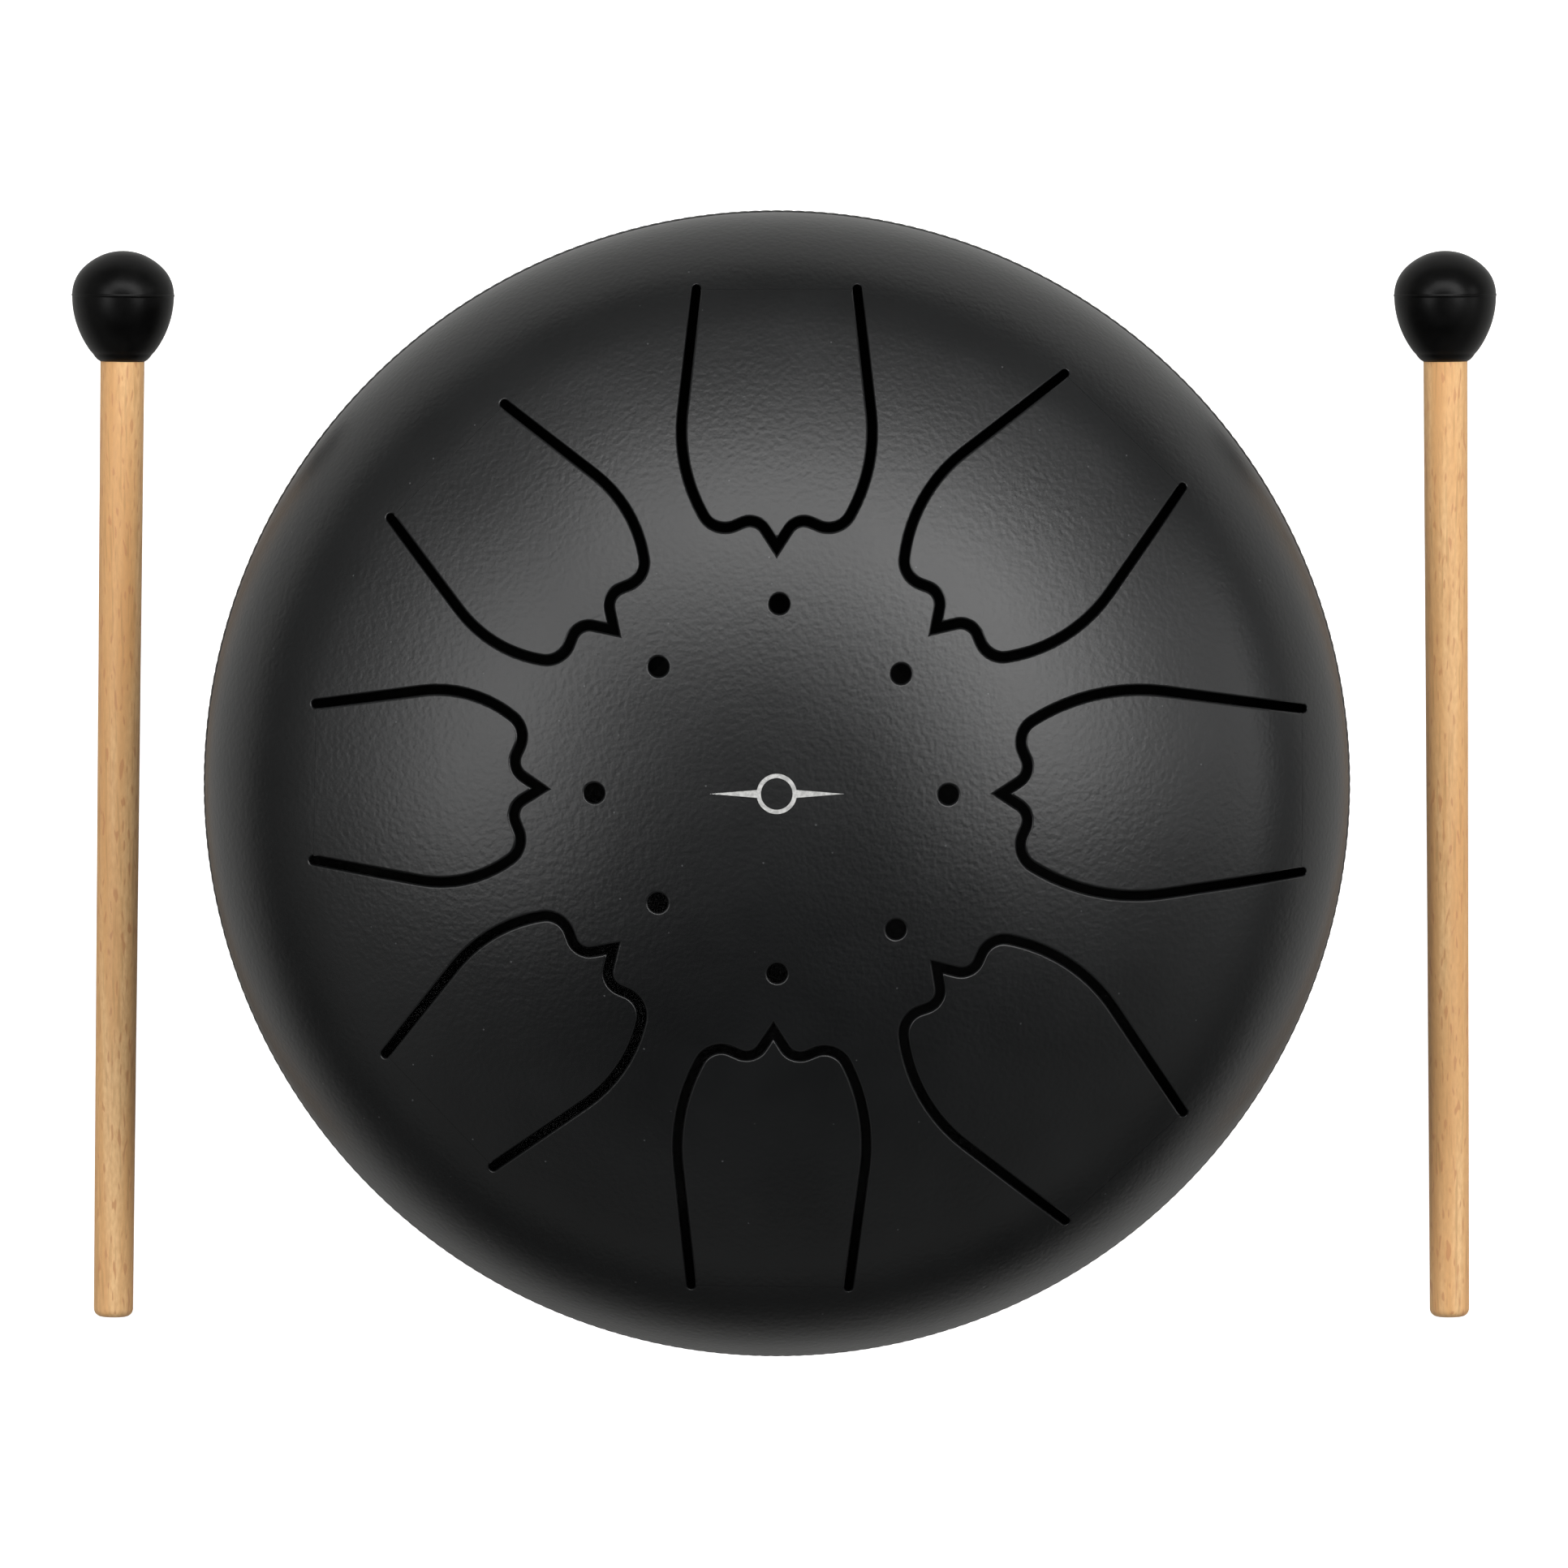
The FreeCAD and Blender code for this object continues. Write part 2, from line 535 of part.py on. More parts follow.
def malletHandle(side):
    body = newBody(f"{side}_mallet_handle")
    section = newSketch(body, f"{side.title()}HandleSection", "XY_Plane")
    top = f"{headBase} + bore_depth"
    points = [("0", "0"), ("tail_radius", "0"), ("handle_radius", headBase), ("handle_radius", top),
              ("0", top)]
    places = [Vector(size(across), size(up), 0) for across, up in points]
    edges = [line(section, start, end) for start, end in zip(places, places[1:] + places[:1])]
    for edge, following, (across, up) in zip(edges, edges[1:] + edges[:1], points):
        tie(section, "Coincident", (edge, 2, following, 1))
        if across == "0":
            tie(section, "PointOnObject", (edge, 1, -2))
        else:
            dimension(section, "DistanceX", (-1, 1, edge, 1), across)
        if up == "0":
            tie(section, "PointOnObject", (edge, 1, -1))
        else:
            dimension(section, "DistanceY", (-1, 1, edge, 1), up)
    stick = revolve(body, section, f"{side.title()}Stick")
    roundEdges(body, stick, "tail_round", f"{side.title()}StickEnd", lambda edge: edge.BoundBox.YMax < 0.001)
    body.Placement = malletPlace(side)


def malletHead(side):
    """A moulded rubber head: nose, side and tail arcs tangent to each other, and a blind bore."""
    body = newBody(f"{side}_mallet_head")
    section = newSketch(body, f"{side.title()}HeadSection", "XY_Plane")
    base = size(headBase)
    widest = size(headWidest)
    noseHeight = size(f"mallet_length - {noseRadius}")
    inset = size("side_inset")
    neckPlace = size(f"head_radius - {neckRadius}")
    turn = math.degrees(math.atan2(widest - noseHeight, inset))
    fall = math.degrees(math.atan2(widest - base, size(collarRadius) - neckPlace))
    bore = size("handle_radius + bore_gap")
    boreEnd = size(f"{headBase} + bore_depth + bore_gap")
    nose = arc(section, (0, noseHeight, 0), size(noseRadius), turn, 90)
    flank = arc(section, (inset, widest, 0), size(sideRadius), 0, turn)
    neck = arc(section, (neckPlace, widest, 0), size(neckRadius), -fall, 0)
    axis = line(section, (0, size("mallet_length"), 0), (0, boreEnd, 0))
    boreFace = line(section, (0, boreEnd, 0), (bore, boreEnd, 0))
    boreWall = line(section, (bore, boreEnd, 0), (bore, base, 0))
    lip = line(section, (bore, base, 0), (size(collarRadius), base, 0))
    tie(section, "Tangent", (neck, 2, flank, 1), (flank, 2, nose, 1))
    tie(section, "Coincident", (nose, 2, axis, 1), (axis, 2, boreFace, 1), (boreFace, 2, boreWall, 1),
        (boreWall, 2, lip, 1), (lip, 2, neck, 1))
    tie(section, "PointOnObject", (nose, 3, -2), (axis, 1, -2), (axis, 2, -2))
    tie(section, "Horizontal", (boreFace,), (lip,), (neck, 3, flank, 3))
    tie(section, "Vertical", (boreWall,))
    dimension(section, "Radius", (nose,), noseRadius)
    dimension(section, "Radius", (flank,), sideRadius)
    dimension(section, "DistanceX", (-1, 1, neck, 1), collarRadius)
    dimension(section, "DistanceY", (-1, 1, nose, 3), f"mallet_length - {noseRadius}")
    dimension(section, "DistanceX", (-1, 1, flank, 1), "head_radius")
    dimension(section, "DistanceX", (-1, 1, boreWall, 1), "handle_radius + bore_gap")
    dimension(section, "DistanceY", (-1, 1, boreWall, 1), f"{headBase} + bore_depth + bore_gap")
    dimension(section, "DistanceY", (-1, 1, lip, 1), headBase)
    revolve(body, section, f"{side.title()}HeadRubber")
    body.Placement = malletPlace(side)


upperShell()
for number in range(1, len(tongues) + 1):
    tongue(number)
lowerShell()
seamWeld()
for number, angle in enumerate(footAngles, 1):
    foot(number, angle)
centreMark()
for side in ("left", "right"):
    malletHandle(side)
    malletHead(side)

doc.recompute()
faults = [f"{item.Name}: {item.State}" for item in doc.Objects
          if "Invalid" in item.State or "Error" in item.State]
for body in parts:
    if body.Shape.isNull() or not body.Shape.isValid() or len(body.Shape.Solids) != 1:
        faults.append(f"{body.Label}: no single valid solid")
if faults:
    raise SystemExit("part not written\n" + "\n".join(faults))

os.makedirs("parts", exist_ok=True)
for body in parts:
    body.Shape.exportStep(f"parts/{body.Label}.step")
    box = body.Shape.optimalBoundingBox()
    print(f"{body.Label:20} {body.Shape.Volume:10.1f} mm3   z {box.ZMin:7.2f} to {box.ZMax:7.2f}")
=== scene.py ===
import json
import math

import bpy
import numpy as np
from mathutils import Matrix, Vector
from mathutils.geometry import delaunay_2d_cdt
from mathutils.kdtree import KDTree
from mathutils.noise import noise


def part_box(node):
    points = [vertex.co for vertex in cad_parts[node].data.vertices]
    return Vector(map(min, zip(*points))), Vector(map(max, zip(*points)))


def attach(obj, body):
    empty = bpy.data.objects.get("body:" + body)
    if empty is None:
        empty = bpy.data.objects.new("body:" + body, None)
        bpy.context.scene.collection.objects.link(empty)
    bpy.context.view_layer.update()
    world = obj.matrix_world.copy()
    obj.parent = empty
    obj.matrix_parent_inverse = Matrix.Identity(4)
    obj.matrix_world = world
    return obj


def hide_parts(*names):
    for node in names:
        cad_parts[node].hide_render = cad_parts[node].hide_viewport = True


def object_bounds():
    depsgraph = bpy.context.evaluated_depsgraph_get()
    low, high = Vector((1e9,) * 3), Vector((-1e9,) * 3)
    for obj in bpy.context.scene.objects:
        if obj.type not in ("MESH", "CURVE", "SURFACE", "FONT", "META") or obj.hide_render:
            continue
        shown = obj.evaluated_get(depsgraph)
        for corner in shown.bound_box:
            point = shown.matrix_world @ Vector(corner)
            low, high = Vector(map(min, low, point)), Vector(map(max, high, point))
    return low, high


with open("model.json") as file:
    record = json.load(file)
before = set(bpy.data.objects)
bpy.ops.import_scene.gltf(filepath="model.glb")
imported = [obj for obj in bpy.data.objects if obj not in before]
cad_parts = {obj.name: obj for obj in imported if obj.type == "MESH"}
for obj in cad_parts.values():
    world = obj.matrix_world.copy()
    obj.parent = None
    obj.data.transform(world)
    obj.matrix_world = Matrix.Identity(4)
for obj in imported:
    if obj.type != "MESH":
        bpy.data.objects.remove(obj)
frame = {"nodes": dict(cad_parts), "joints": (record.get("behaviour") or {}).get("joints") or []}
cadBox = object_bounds()
mm = 0.001


# sRGB hex to the linear colour a shader socket takes
def linear(hexColour):
    parts = [int(hexColour[i:i + 2], 16) / 255 for i in (1, 3, 5)]
    return tuple(c / 12.92 if c <= 0.04045 else ((c + 0.055) / 1.055) ** 2.4 for c in parts) + (1,)


# adds a node, its settings by attribute or socket name, and its links
def addNode(tree, kind, settings, links=None):
    node = tree.nodes.new("ShaderNode" + kind)
    for name, value in settings.items():
        if name == "stops":
            ramp = node.color_ramp.elements
            ramp[0].position, ramp[1].position = value[0][0], value[-1][0]
            for place, colour in value[1:-1]:
                ramp.new(place)
            for stop, (place, colour) in zip(ramp, value):
                stop.color = linear(colour) if isinstance(colour, str) else (colour, colour, colour, 1)
        elif isinstance(name, str) and hasattr(node, name):
            setattr(node, name, value)
        else:
            node.inputs[name].default_value = linear(value) if isinstance(value, str) else value
    for name, source in (links or {}).items():
        tree.links.new(source, node.inputs[name])
    return node


def newMaterial(name):
    material = bpy.data.materials.new(name)
    material.use_nodes = True
    tree = material.node_tree
    shader = tree.nodes["Principled BSDF"]
    place = addNode(tree, "TexCoord", {}).outputs["Object"]
    return material, tree, shader, place


def addBump(tree, shader, height, depth):
    bump = addNode(tree, "Bump", {"Strength": 1.0, "Distance": depth}, {"Height": height})
    tree.links.new(bump.outputs["Normal"], shader.inputs["Normal"])


# Polyester powder coat on pressed steel: sprayed dry and melted in an oven, so it has an even satin
# skin with low orange peel, and a few specks of dust caught in it
powderCoat = {
    "colour": "#0b0c0d", "thin": "#111213", "cloud": 18 * mm, "roughness": 0.36, "roughnessSpread": 0.04,
    "peel": 0.72 * mm, "peelDepth": 0.038 * mm, "grain": 0.35 * mm, "grainDepth": 0.004 * mm,
    "speck": 3.5 * mm, "speckSize": 0.026, "speckColour": "#444546",
}


def makePowderCoat(name, coat):
    material, tree, shader, place = newMaterial(name)
    cloud = addNode(tree, "TexNoise", {"Scale": 1 / coat["cloud"], "Detail": 3.0}, {"Vector": place})
    tone = addNode(tree, "ValToRGB", {"stops": [(0.35, coat["colour"]), (0.7, coat["thin"])]},
                   {"Fac": cloud.outputs["Fac"]})
    # dust specks: only the very middle of each cell
    cells = addNode(tree, "TexVoronoi", {"Scale": 1 / coat["speck"]}, {"Vector": place})
    speckEdge = [(coat["speckSize"], 1.0), (coat["speckSize"] * 1.6, 0.0)]
    speck = addNode(tree, "ValToRGB", {"stops": speckEdge}, {"Fac": cells.outputs["Distance"]})
    colour = addNode(tree, "Mix", {"data_type": "RGBA", 7: coat["speckColour"]},
                     {0: speck.outputs["Color"], 6: tone.outputs["Color"]})
    tree.links.new(colour.outputs[2], shader.inputs["Base Color"])
    peel = addNode(tree, "TexNoise", {"Scale": 1 / coat["peel"], "Detail": 1.5, "Roughness": 0.4},
                   {"Vector": place})
    grain = addNode(tree, "TexNoise", {"Scale": 1 / coat["grain"], "Detail": 1.0}, {"Vector": place})
    gloss = addNode(tree, "MapRange", {"To Min": coat["roughness"] - coat["roughnessSpread"],
                                       "To Max": coat["roughness"] + coat["roughnessSpread"]},
                    {"Value": cloud.outputs["Fac"]})
    tree.links.new(gloss.outputs["Result"], shader.inputs["Roughness"])
    height = addNode(tree, "Math", {"operation": "MULTIPLY_ADD", 1: coat["grainDepth"] / coat["peelDepth"]},
                     {0: grain.outputs["Fac"], 2: peel.outputs["Fac"]})
    addBump(tree, shader, height.outputs["Value"], coat["peelDepth"])
    shader.inputs["IOR"].default_value = 1.5
    return material


# Black rubber, compression moulded: near black, with a soft low shine and a faint bloom in clouds
headMould = {
    "colour": "#050505", "bloom": "#0c0c0c", "bloomSize": 4 * mm, "smooth": 0.26, "dull": 0.44, "shine": 0.12,
    "grain": 0.5 * mm, "grainDepth": 0.008 * mm,
}
# the feet's rubber is greyer and duller, from a blasted mould
footMould = dict(headMould, colour="#121213", bloom="#1a1a1b", smooth=0.52, dull=0.7, shine=0.4)


def makeRubber(name, rubber):
    material, tree, shader, place = newMaterial(name)
    bloom = addNode(tree, "TexNoise", {"Scale": 1 / rubber["bloomSize"], "Detail": 4.0}, {"Vector": place})
    tone = addNode(tree, "ValToRGB", {"stops": [(0.4, rubber["colour"]), (0.72, rubber["bloom"])]},
                   {"Fac": bloom.outputs["Fac"]})
    tree.links.new(tone.outputs["Color"], shader.inputs["Base Color"])
    gloss = addNode(tree, "MapRange", {"To Min": rubber["smooth"], "To Max": rubber["dull"]},
                    {"Value": bloom.outputs["Fac"]})
    tree.links.new(gloss.outputs["Result"], shader.inputs["Roughness"])
    grain = addNode(tree, "TexNoise", {"Scale": 1 / rubber["grain"], "Detail": 2.0}, {"Vector": place})
    addBump(tree, shader, grain.outputs["Fac"], rubber["grainDepth"])
    shader.inputs["IOR"].default_value = 1.52
    shader.inputs["Specular IOR Level"].default_value = rubber["shine"]
    return material


# Beech dowel, turned and left bare: pale pinkish tan, with growth bands that run lengthwise, short dark
# pores and the small shiny ray flecks that mark beech
beech = {
    "pale": "#f8cd95", "mid": "#eebb80", "dark": "#e6ae72", "pore": "#bf8b56", "fleck": "#d29262",
    "mottle": "#dca670", "mottleWidth": 0.35 * mm, "mottleLength": 1.3 * mm,
    "band": 2.6 * mm, "bandLength": 70 * mm, "fibre": 0.45 * mm, "fibreLength": 9 * mm,
    "rayWidth": 0.42 * mm, "rayLength": 2.2 * mm,  # real rays are half as wide, too fine to show
    "roughness": 0.64, "rayRoughness": 0.46, "fibreDepth": 0.02 * mm,
}


def makeBeech(name, wood):
    material, tree, shader, place = newMaterial(name)

    # the handles lie along Y, so the noise is drawn out that way
    def streaks(width, length, detail):
        drawnOut = addNode(tree, "Mapping", {"Scale": (1 / width, 1 / length, 1 / width)}, {"Vector": place})
        return addNode(tree, "TexNoise", {"Scale": 1.0, "Detail": detail},
                       {"Vector": drawnOut.outputs["Vector"]})

    bands = streaks(wood["band"], wood["bandLength"], 3.0)
    growth = [(0.3, wood["dark"]), (0.47, wood["mid"]), (0.62, wood["pale"])]
    tone = addNode(tree, "ValToRGB", {"stops": growth}, {"Fac": bands.outputs["Fac"]})
    fibres = streaks(wood["fibre"], wood["fibreLength"], 3.0)
    pores = addNode(tree, "ValToRGB", {"stops": [(0.3, 0.55), (0.45, 0.0)]}, {"Fac": fibres.outputs["Fac"]})
    grained = addNode(tree, "Mix", {"data_type": "RGBA", 7: wood["pore"]},
                      {0: pores.outputs["Color"], 6: tone.outputs["Color"]})
    mottle = streaks(wood["mottleWidth"], wood["mottleLength"], 2.0)
    soft = addNode(tree, "ValToRGB", {"stops": [(0.35, 0.0), (0.7, 0.55)]}, {"Fac": mottle.outputs["Fac"]})
    mottled = addNode(tree, "Mix", {"data_type": "RGBA", 7: wood["mottle"]},
                      {0: soft.outputs["Color"], 6: grained.outputs[2]})
    rays = streaks(wood["rayWidth"], wood["rayLength"], 0.0)
    flecks = addNode(tree, "ValToRGB", {"stops": [(0.66, 0.0), (0.74, 0.7)]}, {"Fac": rays.outputs["Fac"]})
    flecked = addNode(tree, "Mix", {"data_type": "RGBA", 7: wood["fleck"]},
                      {0: flecks.outputs["Color"], 6: mottled.outputs[2]})
    tree.links.new(flecked.outputs[2], shader.inputs["Base Color"])
    gloss = addNode(tree, "MapRange", {"To Min": wood["roughness"], "To Max": wood["rayRoughness"]},
                    {"Value": rays.outputs["Fac"]})
    tree.links.new(gloss.outputs["Result"], shader.inputs["Roughness"])
    addBump(tree, shader, fibres.outputs["Fac"], wood["fibreDepth"])
    shader.inputs["IOR"].default_value = 1.5
    return material


# Pad-printed ink: flat light grey, a little thin where the pad lifted over the orange peel
printedInk = {"colour": "#c2c2c0", "thin": "#a2a2a1", "roughness": 0.5, "patch": 0.5 * mm,
              "patchDepth": 0.004 * mm}


def makeInk(name, ink):
    material, tree, shader, place = newMaterial(name)
    patches = addNode(tree, "TexNoise", {"Scale": 1 / ink["patch"], "Detail": 2.0}, {"Vector": place})
    tone = addNode(tree, "ValToRGB", {"stops": [(0.35, ink["thin"]), (0.6, ink["colour"])]},
                   {"Fac": patches.outputs["Fac"]})
    tree.links.new(tone.outputs["Color"], shader.inputs["Base Color"])
    addBump(tree, shader, patches.outputs["Fac"], ink["patchDepth"])
    shader.inputs["Roughness"].default_value = ink["roughness"]
    return material


powderCoatedSteel = makePowderCoat("powderCoatedSteel", powderCoat)
headRubber = makeRubber("mouldedHeadRubber", headMould)
footRubber = makeRubber("mouldedFootRubber", footMould)
turnedBeech = makeBeech("turnedBeech", beech)
lightGreyInk = makeInk("padPrintedInk", printedInk)
finishes = {"coated_steel": powderCoatedSteel, "head_rubber": headRubber, "foot_rubber": footRubber,
            "beech": turnedBeech, "printed_ink": lightGreyInk}
for node in frame["nodes"].values():
    for slot in node.material_slots:
        slot.material = finishes[slot.material.name.split(".")[0]]
print("materials made:", len(finishes))

# The dome: a shallow cap, a round shoulder tangent to it, and a short upright band down to the seam
dome = {
    "radius": 75.9 * mm, "capRadius": 125 * mm, "shoulderRadius": 30 * mm, "sheet": 1.5 * mm,
    "edgeRound": 0.32 * mm, "edgeSteps": 5,  # cut edges, rounded by the coat
    "grid": 2.2 * mm, "gridMargin": 0.99 * mm, "outlineStep": 0.8 * mm, "shortest": 0.02 * mm,
    "rootGap": 0.05 * mm, "rootHalfWidth": 12.6 * mm,
    "rootClearance": 0.02 * mm, "rootRelief": 0.012 * mm,  # lets a tongue bend without rubbing
    "squareFrom": 70.5 * mm, "squareBlend": 3 * mm,  # where the cut turns from upright to square
    "near": 0.004 * mm,  # closer than this counts as on a surface or a root line
    "cornerHold": 0.42, "steepest": 0.3,  # limits on the shift at sharp corners and steep places
}
shellRadius = dome["radius"]
shoulderCentre = shellRadius - dome["shoulderRadius"]
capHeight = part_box("upper_shell")[1].z - dome["capRadius"]
betweenCentres = dome["capRadius"] - dome["shoulderRadius"]
shoulderHeight = capHeight + math.sqrt(betweenCentres ** 2 - shoulderCentre ** 2)
tangentAngle = math.asin(shoulderCentre / betweenCentres)
tangentRadius = dome["capRadius"] * math.sin(tangentAngle)
tangentRun = dome["capRadius"] * tangentAngle
bandRun = tangentRun + dome["shoulderRadius"] * (math.pi / 2 - tangentAngle)


# distance over the skin from the top, for points of the outer skin
def skinRun(points):
    out = np.hypot(points[:, 0], points[:, 1])
    cap = dome["capRadius"] * np.arcsin(np.clip(out / dome["capRadius"], 0, 1))
    lean = np.arcsin(np.clip((out - shoulderCentre) / dome["shoulderRadius"], 0, 1))
    shoulder = tangentRun + dome["shoulderRadius"] * (lean - tangentAngle)
    band = bandRun + shoulderHeight - points[:, 2]
    return np.where(points[:, 2] < shoulderHeight, band, np.where(out < tangentRadius, cap, shoulder))


# lays skin points out flat, as far from the middle as they are over the skin
def flatten(points):
    out = np.maximum(np.hypot(points[:, 0], points[:, 1]), 1e-12)
    return points[:, :2] * (skinRun(points) / out)[:, None]


# skin points and their normals from flattened places
def onSkin(flat):
    run = np.hypot(flat[:, 0], flat[:, 1])
    toward = flat / np.maximum(run, 1e-12)[:, None]
    cap = run < tangentRun
    lean = np.where(cap, run / dome["capRadius"],
                    np.minimum(tangentAngle + (run - tangentRun) / dome["shoulderRadius"], math.pi / 2))
    bend = np.where(cap, dome["capRadius"], dome["shoulderRadius"])
    out = np.where(cap, 0, shoulderCentre) + bend * np.sin(lean)
    up = np.where(cap, capHeight, shoulderHeight - np.maximum(run - bandRun, 0)) + bend * np.cos(lean)
    normal = np.column_stack([toward * np.sin(lean)[:, None], np.cos(lean)])
    return np.column_stack([toward * out[:, None], up]), normal


# the inner skin straight below a point, and square to the skin near the upright band
def underSkin(points, normals):
    out = np.hypot(points[:, 0], points[:, 1])
    inner = dome["shoulderRadius"] - dome["sheet"]
    cap = capHeight + np.sqrt(np.maximum((dome["capRadius"] - dome["sheet"]) ** 2 - out ** 2, 0))
    shoulder = shoulderHeight + np.sqrt(np.maximum(inner ** 2 - (out - shoulderCentre) ** 2, 0))
    edge = (dome["capRadius"] - dome["sheet"]) * math.sin(tangentAngle)
    below = np.column_stack([points[:, :2], np.where(out < edge, cap, shoulder)])
    square = points - normals * dome["sheet"]
    share = np.clip((out - dome["squareFrom"]) / dome["squareBlend"], 0, 1)[:, None]
    mixed = below * (1 - share) + square * share
    # back on to the inner shoulder
    across = mixed[:, :2] / np.maximum(np.hypot(mixed[:, 0], mixed[:, 1]), 1e-12)[:, None]
    side = np.hypot(mixed[:, 0], mixed[:, 1]) - shoulderCentre
    rise = mixed[:, 2] - shoulderHeight
    size = np.maximum(np.hypot(side, rise), 1e-9)
    snapped = np.column_stack([across * (shoulderCentre + side / size * inner)[:, None],
                               shoulderHeight + rise / size * inner])
    use = (share[:, 0] > 0) & (rise > 0)
    return np.where(use[:, None], snapped, mixed)


# closed runs of points round the outer skin of a CAD piece, with the metal on the left
def skinOutlines(node):
    mesh = frame["nodes"][node].data
    places = np.array([v.co for v in mesh.vertices])
    keys = {}
    same = [keys.setdefault(tuple(np.round(p * 1e6).astype(int)), i) for i, p in enumerate(places)]
    out = np.hypot(places[:, 0], places[:, 1])
    capAway = np.abs(np.hypot(out, places[:, 2] - capHeight) - dome["capRadius"])
    shoulderRun = np.hypot(out - shoulderCentre, places[:, 2] - shoulderHeight)
    away = np.where(out < tangentRadius, capAway, np.abs(shoulderRun - dome["shoulderRadius"]))
    away = np.where(places[:, 2] < shoulderHeight, np.abs(out - shellRadius), away)
    skin = away < dome["near"]
    mesh.calc_loop_triangles()
    edges = set()
    for triangle in mesh.loop_triangles:
        corners = [same[i] for i in triangle.vertices]
        if skin[corners].all() and len(set(corners)) == 3:
            edges.update(zip(corners, corners[1:] + corners[:1]))
    following = {a: b for a, b in edges if (b, a) not in edges}
    runs = []
    while following:
        start, at = following.popitem()
        run = [start]
        while at != start:
            run.append(at)
            at = following.pop(at)
        runs.append(places[run])
    return runs


# the angles of a quarter turn in even steps, from nothing to square
def quarterTurn(steps):
    return [math.pi / 2 * k / steps for k in range(steps + 1)]


# adds points so that none are further apart than the step, and drops any that are on top of each other
def evenRun(flat, fixed, step):
    points, flags = [], []
    for i in range(len(flat)):
        a, b = flat[i], flat[(i + 1) % len(flat)]
        length = np.hypot(*(b - a))
        if length < dome["shortest"]:
            continue
        count = max(1, math.ceil(length / step))
        for k in range(count):
            points.append(a + (b - a) * k / count)
            flags.append(fixed[i] if k == 0 else fixed[i] and fixed[(i + 1) % len(flat)])
    return np.array(points), np.array(flags)


# how far each point of a run moves to shift the whole run sideways by one unit, into the metal, and the
# way out of the metal; very sharp corners are held back
def sideways(flat):
    ahead = np.roll(flat, -1, 0) - flat
    ahead /= np.hypot(ahead[:, 0], ahead[:, 1])[:, None]
    left = np.column_stack([-ahead[:, 1], ahead[:, 0]])
    both = left + np.roll(left, 1, 0)
    both /= np.maximum(np.hypot(both[:, 0], both[:, 1]), 1e-9)[:, None]
    return both / np.maximum((both * left).sum(1), dome["cornerHold"])[:, None], -both


# which points lie inside the runs, by counting how often a line from each one crosses them
def insideRuns(points, runs):
    inside = np.zeros(len(points), bool)
    for run in runs:
        for (ax, ay), (bx, by) in zip(run, np.roll(run, -1, 0)):
            crosses = (ay > points[:, 1]) != (by > points[:, 1])
            inside[crosses] ^= points[crosses, 0] < ax + (bx - ax) * (points[crosses, 1] - ay) / (by - ay)
    return inside


# keeps the triangles on the metal's side of the outlines, spreading inwards from the ones that touch one
def metalSide(triangles, border):
    sides = [((a, b), (b, c), (c, a)) for a, b, c in triangles]
    owner = {side: k for k, three in enumerate(sides) for side in three}
    metal = {}
    for k, three in enumerate(sides):
        if any(side in border for side in three):
            metal[k] = True
        elif any((q, p) in border for p, q in three):
            metal[k] = False
    spread = list(metal)
    while spread:
        k = spread.pop()
        for p, q in sides[k]:
            beside = owner.get((q, p))
            if beside is not None and beside not in metal and (p, q) not in border and (q, p) not in border:
                metal[beside] = metal[k]
                spread.append(beside)
    return [face for k, face in enumerate(triangles) if metal.get(k)]


# points in rings over the metal, clear of its outlines
def ringPoints(outlines):
    near = KDTree(sum(len(flat) for flat in outlines))
    for k, place in enumerate(np.concatenate(outlines)):
        near.insert((*place, 0), k)
    near.balance()
    points = [(0.0, 0.0)]
    reach = max(np.hypot(flat[:, 0], flat[:, 1]).max() for flat in outlines)
    for ring in range(1, int(reach / dome["grid"]) + 1):
        run = ring * dome["grid"]
        count = max(6, round(2 * math.pi * run / dome["grid"]))
        for k in range(count):
            turn = 2 * math.pi * (k + ring % 2 / 2) / count
            points.append((run * math.cos(turn), run * math.sin(turn)))
    points = np.array([place for place in points if near.find((*place, 0))[2] > dome["gridMargin"]])
    return points[insideRuns(points, outlines)]


# fills the outlines with triangles; the points come back with any that the fill had to add
def fillSheet(outlines):
    places = np.concatenate(outlines + [ringPoints(outlines)])
    edges, start = [], 0
    for flat in outlines:
        edges += [(start + k, start + (k + 1) % len(flat)) for k in range(len(flat))]
        start += len(flat)
    inMillimetres = [Vector(place) * 1000 for place in places]
    found, _, triangles, origins, _, _ = delaunay_2d_cdt(inMillimetres, edges, [], 0, 1e-6)
    source = []
    for point, origin in zip(found, origins):
        if not origin:
            places = np.concatenate([places, [np.array(point) * mm]])
        source.append(origin[0] if origin else len(places) - 1)
    return places, metalSide([[source[i] for i in face] for face in triangles], set(edges))


